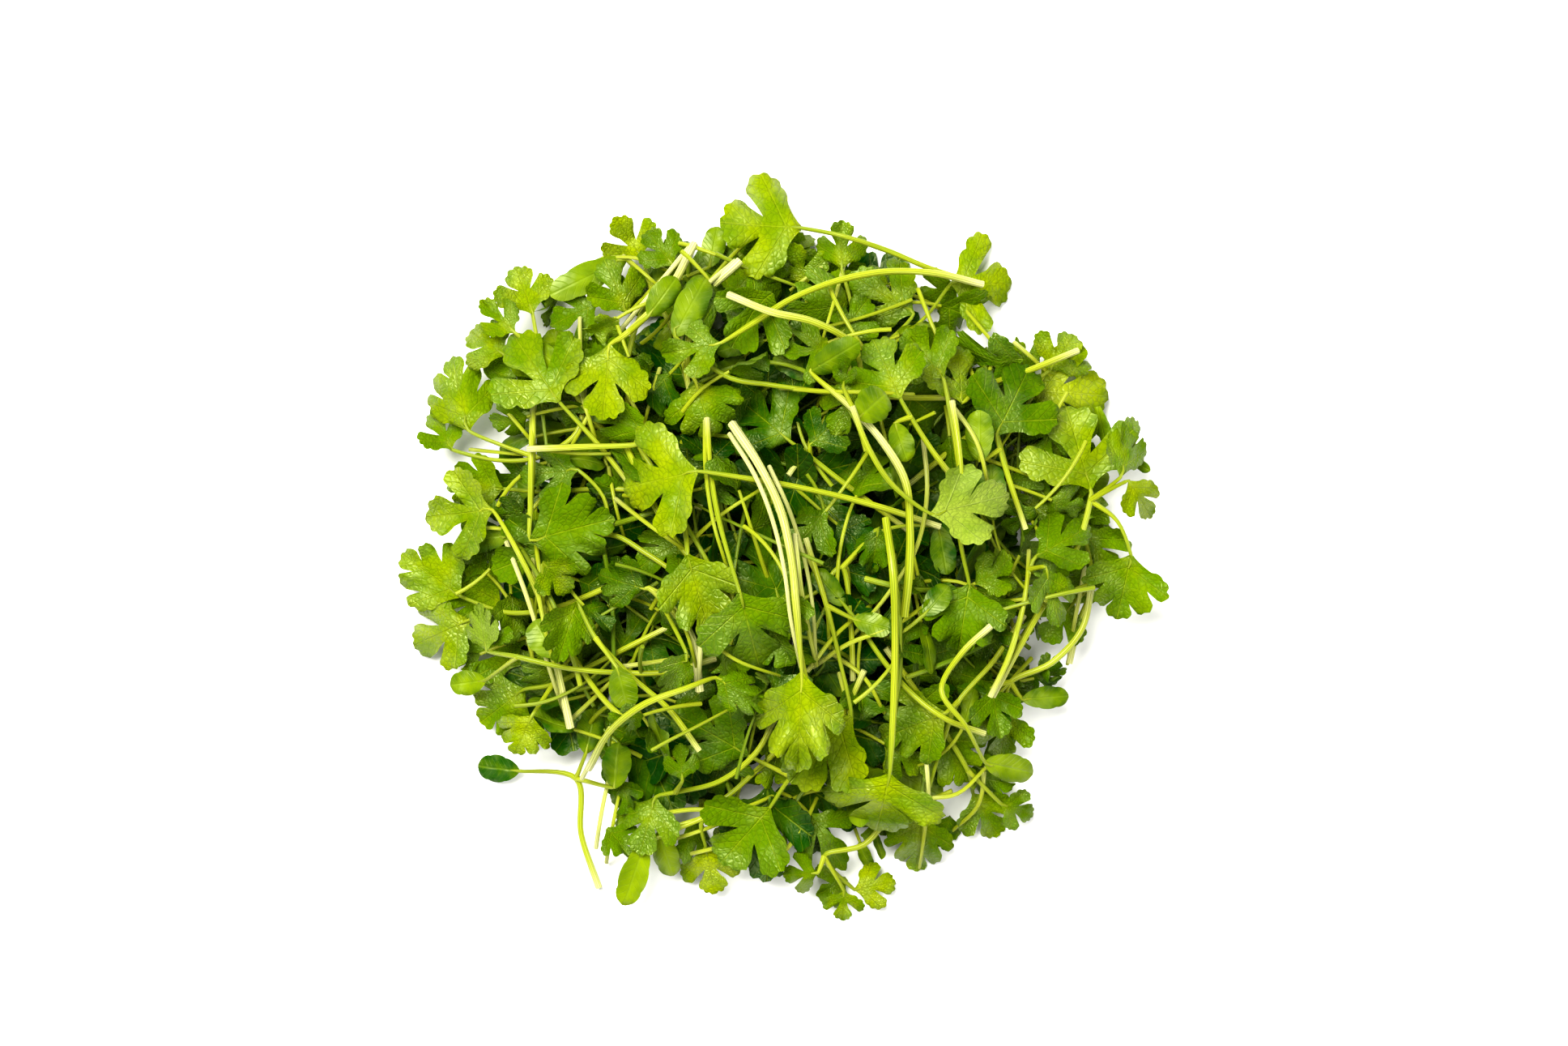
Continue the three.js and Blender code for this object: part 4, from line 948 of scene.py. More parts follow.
def tube_faces(rings, sides):
    """Triangles of a tube and of its two flat ends, whose middles come after the points of its rings"""
    start = np.arange(rings - 1)[:, None] * sides
    k, next_k = np.arange(sides), (np.arange(sides) + 1) % sides
    low, high = (start + k).ravel(), (start + next_k).ravel()
    first, last, top = rings * sides, rings * sides + 1, (rings - 1) * sides
    return np.concatenate([
        np.stack([low, high, high + sides], 1),
        np.stack([low, high + sides, low + sides], 1),
        np.stack([np.full(sides, first), next_k, k], 1),
        np.stack([np.full(sides, last), top + k, top + next_k], 1),
    ])


class Plant:
    """Gathers the vertices and faces of one piece, with what its materials read at each vertex"""

    def __init__(self, name):
        self.name = name
        self.vertices, self.faces, self.skins, self.places = [], [], [], []
        self.count = 0

    def add(self, vertices, faces, skins, places):
        self.vertices.append(vertices)
        self.faces.append(np.asarray(faces) + self.count)
        self.skins.append(skins)
        self.places.append(places)
        self.count += len(vertices)

    def leaf(self, outline, to_space, relief, tone, seed_kind, turned=False):
        """A closed thin leaf with a narrow edge all round, with its under side up if it is turned"""
        u, v, count = outline.u, outline.v, len(outline.u)
        thick = np.where(outline.is_rim, RIM_HALF_THICK, LEAF_HALF_THICK)
        upper, under = to_space(u, v, relief + thick), to_space(u, v, relief - thick)
        upper[:, 2] = np.maximum(upper[:, 2], UPPER_LOWEST)
        under[:, 2] = np.maximum(under[:, 2], UNDER_LOWEST)
        place = np.stack([u, v, np.full(count, tone)], 1)
        a, b = outline.rim, np.roll(outline.rim, -1)
        edge = np.concatenate([np.stack([a, a + count, b + count], 1), np.stack([a, b + count, b], 1)])
        faces = np.concatenate([outline.faces, outline.faces[:, ::-1] + count, edge])
        half = len(outline.faces)
        skins = np.repeat([UPPER, UNDER, UPPER], [half, half, len(edge)])
        if seed_kind:
            skins[:] = SEED_SKIN
        elif turned:
            skins = np.where(skins == UPPER, UNDER, UPPER)
        self.add(np.concatenate([upper, under]), faces, skins, np.concatenate([place, place]))

    def tube(self, path, radii, sides, tone, ridge=0.0):
        """A closed stem along a path, ridged lengthwise, cut flat at its start"""
        ahead = np.gradient(path, axis=0)
        ahead /= np.linalg.norm(ahead, axis=1)[:, None]
        side = np.stack([-ahead[:, 1], ahead[:, 0], np.zeros(len(path))], 1)
        side /= np.linalg.norm(side, axis=1)[:, None]
        up = np.cross(ahead, side)
        turn = 2 * math.pi * np.arange(sides) / sides
        swell = 1 + ridge * np.where(np.arange(sides) % 2, -1, 1)
        across, over = np.cos(turn) * swell, np.sin(turn) * swell
        ring = side[:, None] * across[None, :, None] + up[:, None] * over[None, :, None]
        skin = path[:, None] + ring * radii[:, None, None]
        place = np.zeros((len(path), sides, 3))
        place[..., 0] = distances(path)[:, None]
        place[..., 1] = (np.arange(sides) / sides)[None]
        place[..., 2] = np.asarray(tone).reshape(-1, 1)
        ends = np.stack([path[0], path[-1]])
        vertices = np.concatenate([skin.reshape(-1, 3), ends])
        places = np.concatenate([place.reshape(-1, 3), place[[0, -1], 0]])
        faces = tube_faces(len(path), sides)
        self.add(vertices, faces, [STEM] * len(faces), places)

    def build(self, materials, slot):
        """Makes the piece in Blender"""
        mesh = bpy.data.meshes.new(self.name)
        vertices = np.concatenate(self.vertices).astype(np.float32) * MM
        faces = np.concatenate(self.faces).astype(np.int32)
        mesh.vertices.add(len(vertices))
        mesh.vertices.foreach_set("co", vertices.ravel())
        mesh.loops.add(faces.size)
        mesh.loops.foreach_set("vertex_index", faces.ravel())
        mesh.polygons.add(len(faces))
        mesh.polygons.foreach_set("loop_start", np.arange(0, faces.size, 3, dtype=np.int32))
        mesh.polygons.foreach_set("material_index", np.concatenate(self.skins).astype(np.int32))
        place = mesh.attributes.new("place", "FLOAT_VECTOR", "POINT")
        place.data.foreach_set("vector", np.concatenate(self.places).astype(np.float32).ravel())
        mesh.update(calc_edges=True)
        mesh.validate()
        mesh.shade_smooth()
        mesh.set_sharp_from_angle(angle=SHARP_ANGLE)
        for material in materials:
            mesh.materials.append(material)
        piece = bpy.data.objects.new(self.name, mesh)
        bpy.context.scene.collection.objects.link(piece)
        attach(piece, "root")
        return piece


# Relief in leaf lengths: how lobes lift and fold, how high the waves are, and how deep and wide the veins
LOBE_LIFT = 0.3
LOBE_FOLD = (0.2, 0.38)
FOLD_RISE = 2.2
EDGE_CURL = (-0.03, 0.13)
EDGE_WAVE = 0.03
FINE_WAVE = 0.011
VEIN_DEPTH = 0.012
VEIN_WIDTH = 0.05


def relief_of(outline, length, bend):
    """Heights over a leaf's own bend: lifted and folded lobes, curled edges, soft waves and sunk veins"""
    u, v = outline.u, outline.v
    far = np.hypot(u - HUB, v) / LOBE_REACH
    turn = np.arctan2(v, u - HUB)
    outer = np.clip(far - 0.25, 0, 1)
    ease = np.clip((np.abs(turn) - 0.4) / 0.4, 0, 1)
    side = ease * ease * (3 - 2 * ease)
    across = [np.abs(v), np.abs((u - SIDE_VEIN_BASE) * SIDE_VEIN[1] - np.abs(v) * SIDE_VEIN[0])]
    lift, fold = rng.normal(0, LOBE_LIFT, 3), rng.normal(*LOBE_FOLD, 3)
    shares = [1 - side, side * (v > 0), side * (v <= 0)]
    height = -rng.uniform(*EDGE_CURL) * far**3
    for k, share in enumerate(shares):
        height += share * outer * (lift[k] + fold[k] * FOLD_RISE * across[min(k, 1)])
    phase = TURN * rng.random(4)
    height += EDGE_WAVE * far**2 * (np.sin(4 * turn + phase[0]) + 0.7 * np.sin(7 * turn + phase[1]))
    height += FINE_WAVE * np.sin(13 * u + phase[2]) * np.sin(11 * v + phase[3])
    vein = np.minimum(*across)
    height -= VEIN_DEPTH * np.exp(-((vein / VEIN_WIDTH) ** 2)) * np.clip(1.1 - far, 0, 1)
    return length * bend * height


def smooth_path(rings, step):
    """Points with radii of the smooth curve through all rings"""
    rings = np.array(rings, float)
    padded = np.concatenate([rings[:1] * 2 - rings[1:2], rings, rings[-1:] * 2 - rings[-2:-1]])
    found = []
    for a, b, c, d in zip(padded, padded[1:], padded[2:], padded[3:]):
        count = max(1, round(float(np.linalg.norm(c[:3] - b[:3])) / step))
        t = (np.arange(count) / count)[:, None]
        found.append(curved(a, b, c, d, t))
    found.append(rings[-1:])
    return np.concatenate(found)


# Stems are a little thinner than in the solids, as in the photo
FINER = 0.84
STEM_STEP = 1.3
STEM_SIDES = 10
STEM_RIDGE = 0.05

# Paleness of stems, how much more it is at a cut end and where a stalk branches off, and over what length
STEM_TONE = 0.3
CUT_PALE, CUT_FADE = 0.5, 5
BRANCH_PALE, BRANCH_FADE = 0.15, 4
# Share of their paleness kept by the stems of sprigs deep in the heap, which leaves them darker green as
# painted shade
DEEP_STEM_PAINTED_SHADE = 0.3


def paleness(far, main, thick, hidden_cut):
    """How pale a stem is along its length: most where it is cut, or further on if that end is hidden"""
    share = far / far[-1]
    if not main:
        tone = STEM_TONE + BRANCH_PALE * np.exp(-far / BRANCH_FADE)
    elif hidden_cut is None:
        bare = np.clip((thick - 1) / 0.5, 0, 1)
        tone = STEM_TONE + bare * (0.55 - 0.3 * share) + CUT_PALE * np.exp(-far / CUT_FADE)
    else:
        tone = STEM_TONE + hidden_cut * np.exp(-(((share - 0.65) / 0.25) ** 2))
    return np.clip(tone - 0.12 * share, 0, 1)


def dress_strand(plant, rings, main, thick, deep, hidden_cut):
    """A fine stem over a strand's rings, swelling a little where it branches off and along its length"""
    curve = smooth_path(rings, STEM_STEP)
    path, radii = curve[:, :3] - (*middle, 0), FINER * curve[:, 3]
    far = distances(path)
    if not main:
        radii *= 1 + 0.4 * np.exp(-far / 2.5)
    radii *= 1 + 0.05 * np.sin(far / 3.1 + TURN * rng.random())
    # stems of sprigs deep in the heap are darkened: painted shade
    tone = paleness(far, main, thick, hidden_cut) * (DEEP_STEM_PAINTED_SHADE if deep else 1)
    plant.tube(path, radii, STEM_SIDES, tone, STEM_RIDGE)


def dress_blade(plant, blade, tone, turned):
    """A fine leaf in the plane and bend of a solid blade"""
    seed_kind = blade.kind == "seed"
    outline = any_of(fine_seed if seed_kind else fine_lobed)

    def to_space(u, v, height):
        x, y = blade.plan(u, v)
        z = blade.height_at(u, v * blade.wide, blade.form(u, v)) + height
        return np.stack([x - middle[0], y - middle[1], z], 1)

    relief = relief_of(outline, blade.length, 0.3 if seed_kind else 1.0)
    relief -= relief.min() if blade.shape["flat"] else 0
    plant.leaf(outline, to_space, relief, tone, seed_kind, turned)


# Materials
class Signal:
    """What comes out of a node, which the usual signs of arithmetic work on"""

    def __init__(self, nodes, socket):
        self.nodes, self.socket = nodes, socket

    def __add__(self, other):
        return self.nodes.math("ADD", self, other)

    def __sub__(self, other):
        return self.nodes.math("SUBTRACT", self, other)

    def __rsub__(self, other):
        return self.nodes.math("SUBTRACT", other, self)

    def __mul__(self, other):
        return self.nodes.math("MULTIPLY", self, other)

    def __abs__(self):
        return self.nodes.math("ABSOLUTE", self)


class Nodes:
    """The nodes of one material, with short calls for the common ones"""

    def __init__(self, name):
        self.material = bpy.data.materials.new(name)
        self.material.use_nodes = True
        self.tree = self.material.node_tree
        self.tree.nodes.clear()

    def node(self, kind, inputs, output, **settings):
        """A node's output, once its inputs are linked or set"""
        made = self.tree.nodes.new(kind)
        for key, value in settings.items():
            setattr(made, key, value)
        for key, value in inputs.items():
            self.feed(made.inputs[key], value)
        return Signal(self, made.outputs[output])

    def feed(self, socket, value):
        if isinstance(value, Signal):
            self.tree.links.new(value.socket, socket)
        elif socket.type == "RGBA":
            socket.default_value = (*value, 1)
        else:
            socket.default_value = value

    def math(self, operation, a, b=0.0):
        return self.node("ShaderNodeMath", {0: a, 1: b}, 0, operation=operation)

    def ramp(self, value, low, high, to_low=0.0, to_high=1.0):
        """Value mapped from one range to another and held inside it, with soft ends"""
        inputs = {0: value, 1: low, 2: high, 3: to_low, 4: to_high}
        return self.node("ShaderNodeMapRange", inputs, 0, interpolation_type="SMOOTHSTEP")

    def blend(self, share, a, b):
        return self.node("ShaderNodeMix", {0: share, 6: a, 7: b}, 2, data_type="RGBA")

    def noise(self, vector, scale, detail=2.0):
        inputs = {"Vector": vector, "Scale": scale, "Detail": detail}
        return self.node("ShaderNodeTexNoise", inputs, "Fac")

    def cell_walls(self, vector, scale):
        """Distance to the nearest border in a net of cells"""
        inputs = {"Vector": vector, "Scale": scale, "Randomness": 1.0}
        return self.node("ShaderNodeTexVoronoi", inputs, "Distance", feature="DISTANCE_TO_EDGE")

    def vector(self, x, y, z):
        return self.node("ShaderNodeCombineXYZ", {0: x, 1: y, 2: z}, 0)

    def stripes(self, value, wide):
        """Soft lines wherever a value passes a whole number"""
        return self.ramp(self.math("PINGPONG", value, 0.5), 0.0, wide, 1.0, 0.0)

    def place(self):
        """What each vertex carries: along and across a leaf and its tone, or along and round a stem"""
        found = self.node("ShaderNodeAttribute", {}, "Vector", attribute_name="place")
        apart = self.tree.nodes.new("ShaderNodeSeparateXYZ")
        self.feed(apart.inputs["Vector"], found)
        return [Signal(self, socket) for socket in apart.outputs]

    def flesh(self, skin, height, bump, glow, glow_share):
        """Finishes a plant's material: a skin with bumps of some strength and depth, and light through it"""
        inputs = {"Height": height, "Strength": bump[0], "Distance": bump[1]}
        normal = self.node("ShaderNodeBump", inputs, 0)
        outer = self.node("ShaderNodeBsdfPrincipled", {**skin, "Normal": normal}, 0)
        through = self.node("ShaderNodeBsdfTranslucent", {"Color": glow, "Normal": normal}, 0)
        return self.finish(self.node("ShaderNodeMixShader", {0: glow_share, 1: outer, 2: through}, 0))

    def finish(self, shader):
        out = self.tree.nodes.new("ShaderNodeOutputMaterial")
        self.feed(out.inputs["Surface"], shader)
        return self.material


# Each leaf's noise comes from its own slice, this far apart for a whole step of tone
SLICE = 53.0
GLOSS_TINT = (0.92, 1, 0.5)


def leaf_material(name, shades, vein_tint, rough, glow, relief):
    """Satin leaf skin with palmate main veins, side veins, a faint net darkened with painted shade, and soft
    swells between them
    """
    n = Nodes(name)
    u, v, tone = n.place()
    apart = n.vector(u, v, tone * SLICE)
    wide = abs(v)
    from_base = u - SIDE_VEIN_BASE
    side_along = from_base * SIDE_VEIN[0] + wide * SIDE_VEIN[1]
    side_across = abs(from_base * SIDE_VEIN[1] - wide * SIDE_VEIN[0])
    across = n.math("MINIMUM", wide, side_across)
    central = n.math("LESS_THAN", wide, side_across)
    along = central * u + (1.0 - central) * side_along
    wobble = (n.noise(apart, 5.0) - 0.5) * 0.09
    main = n.ramp(abs(across + wobble * 0.25), 0.002, 0.014, 1.0, 0.0)
    branch = n.stripes((along - across * 1.1 + wobble) * 6.5, 0.07)
    lines = n.math("MAXIMUM", main, branch * 0.6)
    walls = n.cell_walls(apart, 14.0)
    net = n.ramp(walls, 0.0, 0.09, 1.0, 0.0)
    patches = n.ramp(n.noise(apart, 2.2, 3.0), 0.3, 0.7, -0.1, 0.1)
    heart = n.ramp(wide + u * 0.5, 0.05, 0.5, 0.08, 0.0)
    lit = tone + patches + heart
    low = n.blend(n.ramp(lit, 0.0, 0.5), shades[0], shades[1])
    body = n.blend(n.ramp(lit, 0.5, 1.0), low, shades[2])
    # the net of cell walls, sunk by the bumps, is painted darker: painted shade
    netted_with_painted_shade = n.blend(net * 0.32, body, shades[0])
    swell = n.ramp(walls, 0.0, 0.3) * 0.45 + n.noise(apart, 6.0, 1.0) * 0.9
    veiled = n.blend(n.math("MAXIMUM", lines, net * 0.4) * 0.55, glow, shades[1])
    skin = {
        "Base Color": n.blend(lines * 0.35, netted_with_painted_shade, vein_tint),
        "Roughness": n.ramp(n.noise(apart, 4.0, 3.0), 0.3, 0.7, rough - 0.03, rough + 0.12),
        "Specular IOR Level": n.ramp(n.noise(apart, 1.7, 2.0), 0.42, 0.62, 0.02, 1.0),
        "Specular Tint": GLOSS_TINT,
    }
    through = n.blend(n.ramp(tone, 0.1, 0.7), shades[1], veiled)
    return n.flesh(skin, swell - lines * relief, (0.75, 0.00028), through, 0.36)


def seed_leaf_material():
    """Smooth seed leaf with one faint midrib and fainter side veins"""
    n = Nodes("seed_leaf")
    u, v, tone = n.place()
    apart = n.vector(u, v, tone * SLICE)
    wide = abs(v)
    rib = n.ramp(wide, 0.0, 0.03, 1.0, 0.0)
    branch = n.stripes(u * 9.0 - wide * 8.0 + n.noise(apart, 4.0), 0.1)
    lines = n.math("MAXIMUM", rib, branch * 0.4)
    patches = n.ramp(n.noise(apart, 3.0, 3.0), 0.3, 0.7, -0.2, 0.2)
    lit = tone + patches + n.ramp(wide, 0.02, 0.2, 0.08, -0.1)
    body = n.blend(lit, (0.01, 0.07, 0.001), (0.27, 0.37, 0.003))
    skin = {
        "Base Color": n.blend(lines * 0.25, body, (0.28, 0.4, 0.03)),
        "Roughness": 0.4,
        "Specular IOR Level": n.ramp(n.noise(apart, 2.4, 2.0), 0.4, 0.64, 0.1, 0.8),
        "Specular Tint": GLOSS_TINT,
    }
    return n.flesh(skin, n.noise(apart, 5.0, 2.0) - lines * 0.7, (0.6, 0.00022), (0.26, 0.4, 0.008), 0.35)


def stem_material():
    """Juicy stem: whitish at its cut end, yellow-green further on, streaked and grooved lengthwise, with
    painted shade darkening the grooves
    """
    n = Nodes("stem")
    far, turn, pale = n.place()
    streaks = n.noise(n.vector(far * 0.03, turn * 6.0, far * 0.01), 3.0, 3.0)
    # grooves along the stem, sunk by the bump and painted darker as shade
    groove_and_painted_shade = n.stripes(turn * 9.0, 0.2)
    patchy = pale + (streaks - 0.5) * 0.5
    green = n.blend(n.ramp(patchy, 0.0, 0.4), (0.11, 0.2, 0.003), (0.405, 0.46, 0.012))
    whitish = n.blend(n.ramp(patchy, 0.4, 1.0), green, (0.72, 0.71, 0.31))
    skin = {
        "Base Color": n.blend(groove_and_painted_shade * 0.45, whitish, (0.24, 0.34, 0.015)),
        "Roughness": 0.36,
        "Specular IOR Level": 0.4,
    }
    return n.flesh(skin, streaks * 0.6 - groove_and_painted_shade, (0.7, 0.0002), (0.44, 0.52, 0.04), 0.25)


def floor_material():
    n = Nodes("floor_white")
    speck = n.noise(n.node("ShaderNodeTexCoord", {}, "Object"), 60.0)
    tint = n.blend(speck * 0.04, (0.9, 0.9, 0.9), (0.7, 0.7, 0.7))
    return n.finish(n.node("ShaderNodeBsdfPrincipled", {"Base Color": tint, "Roughness": 0.7}, 0))


UPPER_SHADES = [(0.005, 0.06, 0.001), (0.114, 0.206, 0.001), (0.36, 0.415, 0.002)]
UNDER_SHADES = [(0.06, 0.115, 0.01), (0.18, 0.27, 0.02), (0.36, 0.45, 0.06)]
leaf_upper = leaf_material("leaf_upper", UPPER_SHADES, (0.38, 0.48, 0.015), 0.4, (0.47, 0.6, 0.002), 0.8)
leaf_under = leaf_material("leaf_under", UNDER_SHADES, (0.42, 0.52, 0.12), 0.55, (0.46, 0.6, 0.004), -0.6)
materials = [leaf_upper, leaf_under, seed_leaf_material(), stem_material()]

# Tone of each leaf of a laid sprig, from dark to light green, in the order of its shoots
# The foot and inner sprigs lie deep in the heap: their leaves get dark tones and their stems are darkened,
# as painted shade
DEEP_PAINTED_SHADE_TONES = {"foot": (0.08, 0.12), "inner": (0.12, 0.05, 0.16, 0.08)}
TONES = {
    "rim_north": (0.55, 0.56, 0.45, 0.7), "rim_east_high": (0.74, 0.7), "rim_east_low": (0.55, 0.5),
    "rim_south_east": (0.56, 0.4, 0.35), "rim_south_east_low": (0.6, 0.55),
    "rim_south_right": (0.55, 0.66), "rim_south_foot": (0.72, 0.58, 0.68),
    "rim_south": (0.68, 0.66, 0.78), "loose_south_west": (0.1, 0.35, 0.4),
    "rim_west_low": (0.55, 0.75), "rim_west": (0.6, 0.7), "rim_west_round": (0.6, 0.45),
    "rim_west_high": (0.5, 0.66), "rim_north_west": (0.6, 0.66, 0.6),
    "rim_north_left": (0.7, 0.58, 0.52, 0.55, 0.55), "deep_north": (0.2, 0.25),
    "deep_middle": (0.2, 0.22, 0.28), "deep_west": (0.4, 0.35), "deep_south": (0.52, 0.35),
    "deep_south_west": (0.55, 0.5), "west_round": (0.5,), "west_pale_pair": (0.62, 0.55, 0.65),
    "west_long": (0.5, 0.6), "west_inner": (0.5, 0.5), "west_stump": (0.3, 0.5), "west_curl": (0.4,),
    "west_large": (0.64,), "west_cross": (0.55,), "north_far": (0.7,), "north_pale": (0.68, 0.5),
    "north_thick": (0.55,), "north_long": (0.52,), "north_arch": (0.5,), "north_bow": (0.54,),
    "east_big": (0.68, 0.6, 0.6, 0.72), "east_middle": (0.42, 0.5), "east_upper": (0.58,),
    "east_dark": (0.35, 0.45), "east_stalk": (0.5,), "east_leaf": (0.62, 0.52), "east_drop": (0.45,),
    "south_bare": (0.2, 0.3), "south_slant": (0.68,), "south_yellow": (0.72, 0.5),
    "middle_left": (0.6,), "middle_heart": (0.52,), "middle_bright": (0.7,),
    "middle_thick": (0.45, 0.4, 0.45), "middle_pale": (0.75,), "middle_upright": (0.6,),
    "middle_white": (0.72,),
}
TONE_SPREAD = 0.06

# Sprigs whose leaves lie with their pale under side up
TURNED = ("middle_pale", "west_long")

# Stems whose cut end is green or out of sight in the photo, and how much paler they are further on
HIDDEN_CUTS = {"middle_thick": 0.6, "middle_upright": 0.15}

# Slots by the first word of a sprig's name; every other sprig is an upper one
SLOTS = {"foot": "deep_sprigs", "inner": "deep_sprigs", "deep": "deep_sprigs", "rim": "rim_sprigs",
         "loose": "rim_sprigs"}

# Space that is taken, in cubes of a millimetre, and how much leaf lies over each plan square
HALF_GRID = 80
GRID_HIGH = 64
SQUARE = 2
taken = np.zeros((2 * HALF_GRID, 2 * HALF_GRID, GRID_HIGH), bool)
cover = np.zeros((2 * HALF_GRID // SQUARE, 2 * HALF_GRID // SQUARE))


def cubes_of(points):
    """Indices of the cubes that points are in"""
    cubes = np.floor(points + (HALF_GRID, HALF_GRID, 0)).astype(int)
    return tuple(np.clip(cubes, 0, np.array(taken.shape) - 1).T)


def squares_of(points):
    """Indices of the plan squares that points are over"""
    squares = np.floor((points[:, :2] + HALF_GRID) / SQUARE).astype(int)
    return tuple(np.clip(squares, 0, cover.shape[0] - 1).T)


def note_plant(plant):
    """Notes the space that a piece takes, and where its leaves lie"""
    for vertices, skins in zip(plant.vertices, plant.skins):
        taken[cubes_of(vertices)] = True
        if skins[0] != STEM:
            np.add.at(cover, squares_of(vertices), 1)


def varied(tone):
    return tone + TONE_SPREAD * (2 * rng.random() - 1)


def dress_sprig(name, thick, strands, blades):
    """One fine piece in the place of a laid sprig's solid"""
    group = name.split("_")[0]
    plant = Plant(name + "_plant")
    # Sprigs deep in the heap get darkened stems and dark leaf tones: painted shade
    for i, rings in enumerate(strands):
        dress_strand(plant, rings, i == 0, thick, group in DEEP_PAINTED_SHADE_TONES, HIDDEN_CUTS.get(name))
    for blade, tone in zip(blades, TONES.get(name) or DEEP_PAINTED_SHADE_TONES[group]):
        dress_blade(plant, blade, varied(tone), name in TURNED)
    note_plant(plant)
    piece = plant.build(materials, SLOTS.get(group, "upper_sprigs"))
    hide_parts(name)


for each, (name, strands, blades) in zip(sprigs, plants):
    dress_sprig(name, each["thick"], strands, blades)


def widened(heights, reach, mix):
    """A height map with each cell joined with its neighbours along and across"""
    for axis in (0, 1):
        heights = mix([np.roll(heights, k, axis) for k in range(-reach, reach + 1)], 0)
    return heights


NO_ROOF = 99


def note_surface():
    """The heap's smooth upper side, and the height of what was laid on the inner sprigs"""
    smooth = widened(widened(laid, 6, np.max), 8, np.mean)
    return smooth, np.where(laid > low_laid + 0.01, laid, NO_ROOF)


surface, roof = note_surface()


def cells_under(points):
    return cell_of(points[:, 0] + middle[0]), cell_of(points[:, 1] + middle[1])


def surface_at(x, y):
    return float(surface[cell_of(x + middle[0]), cell_of(y + middle[1])])


def under_roof(points, margin):
    """Whether points lie below the sprigs over them, and below the top of the heap between those"""
    cells = cells_under(points)
    return (points[:, 2] < np.minimum(roof[cells], surface[cells]) - margin).all()


# How far the heap reaches from its middle, in even turns from +X
REACHES = np.array([62, 64, 54, 56, 60, 61, 62, 64, 62, 62, 50, 54, 57, 58, 58, 56])
INSIDE_SHARE = 0.8

# Plan spots that stay open: x, y and radius
OPEN_SPOTS = np.array([
    (-35, 48, 6), (-52, 20, 4), (23, 55, 6), (53, -17, 6), (-3, -44, 3), (-18, -46, 3.5),
])


def turn_share(x, y):
    """Share of a turn from +X at which a plan point lies"""
    return np.arctan2(y, x) / (2 * math.pi) % 1


def within_reach(points):
    """Whether most points lie inside the heap's plan and none in an open spot"""
    x, y = points[:, 0], points[:, 1]
    turn = turn_share(x, y) * len(REACHES)
    low = turn.astype(int) % len(REACHES)
    reach = REACHES[low] + (REACHES[(low + 1) % len(REACHES)] - REACHES[low]) * (turn % 1)
    gap = np.hypot(x[:, None] - OPEN_SPOTS[:, 0], y[:, None] - OPEN_SPOTS[:, 1]) - OPEN_SPOTS[:, 2]
    return (np.hypot(x, y) < reach).mean() > INSIDE_SHARE and (gap > 0).all()


def direction(heading, rise):
    flat = math.cos(rise)
    return np.array([math.cos(heading) * flat, math.sin(heading) * flat, math.sin(rise)])


def leaf_frame(heading, rise, roll):
    """Directions along, across and over a leaf"""
    along = direction(heading, rise)
    level = np.array([-math.sin(heading), math.cos(heading), 0.0])
    across = level * math.cos(roll) + np.cross(along, level) * math.sin(roll)
    across /= np.linalg.norm(across)
    return along, across, np.cross(along, across)


# Stalks of loose leaves: how they run and bend, how steeply at most, and where they level out and end
STALK_STEP = 2.0
STALK_SWERVE = 0.075
STALK_WOBBLE = 0.02
STALK_LIFT = 0.05
STALK_STEEPEST = -0.9
STALK_LEVELS = 6
STALK_LOWEST = 0.8
STALK_SLIM = 0.62


def stalk_path(base, ahead, long, sink):
    """Points from a leaf's base back and down into the heap, bending a little as they go"""
    swerve = rng.normal(0, STALK_SWERVE)
    heading, rise = math.atan2(ahead[1], ahead[0]), math.asin(np.clip(ahead[2], -1, 1))
    path = [np.array(base)]
    for _ in range(int(long / STALK_STEP)):
        heading += swerve + rng.normal(0, STALK_WOBBLE)
        rise -= sink if path[-1][2] > STALK_LEVELS else -STALK_LIFT
        rise = max(rise, STALK_STEEPEST)
        following = path[-1] + STALK_STEP * direction(heading, rise)
        too_low, too_high = following[2] < STALK_LOWEST, following[2] > surface_at(*following[:2]) + 1
        if too_low or too_high or not within_reach(following[None]):
            break
        path.append(following)
    return np.array(path)


# Pieces of loose leaves, by where they lie: six sectors of the edge, of the inside and of the top
SECTORS = 6
EDGE_FROM = 48
fill = {}


def fill_plant(x, y, low):
    """The piece that a loose leaf or stem belongs to"""
    sector = int(turn_share(x, y) * SECTORS) + 1
    if math.hypot(x, y) > EDGE_FROM:
        kind, slot = "edge_leaves_", "rim_sprigs"
    else:
        kind, slot = ("core_leaves_", "deep_sprigs") if low else ("upper_leaves_", "upper_sprigs")
    name = kind + str(sector)
    if name not in fill:
        fill[name] = (Plant(name), slot)
    return fill[name][0]


class LooseLeaf:
    """A leaf apart from the laid sprigs: its outline, and its place, bend and tilt"""

    def __init__(self, outline, long, wide, directions, cup, droop):
        self.outline, self.long, self.wide = outline, long, wide
        self.along, self.across, self.over = directions
        self.cup, self.droop = cup, droop
        self.base = np.zeros(3)

    def to_space(self, u, v, height):
        lift = self.long * (self.cup * v * v - self.droop * u * u) + height
        flat = u[:, None] * self.along + (self.wide * v)[:, None] * self.across
        return self.base + self.long * flat + lift[:, None] * self.over

    def points(self, relief):
        return self.to_space(self.outline.u, self.outline.v, relief)

    def stalk(self, long, sink):
        return stalk_path(self.base + 0.02 * self.long * self.along, -self.along, long, sink)

    def add_to(self, plant, points, relief, tone, seed_kind):
        """Adds the leaf to a piece and notes its space"""
        plant.leaf(self.outline, self.to_space, relief, tone, seed_kind)
        taken[cubes_of(plant.vertices[-1])] = True
        np.add.at(cover, squares_of(points), 2)


def add_stalk(plant, stalk, radii, sides, tone):
    plant.tube(stalk[::-1], radii[::-1], sides, tone)
    taken[cubes_of(plant.vertices[-1])] = True


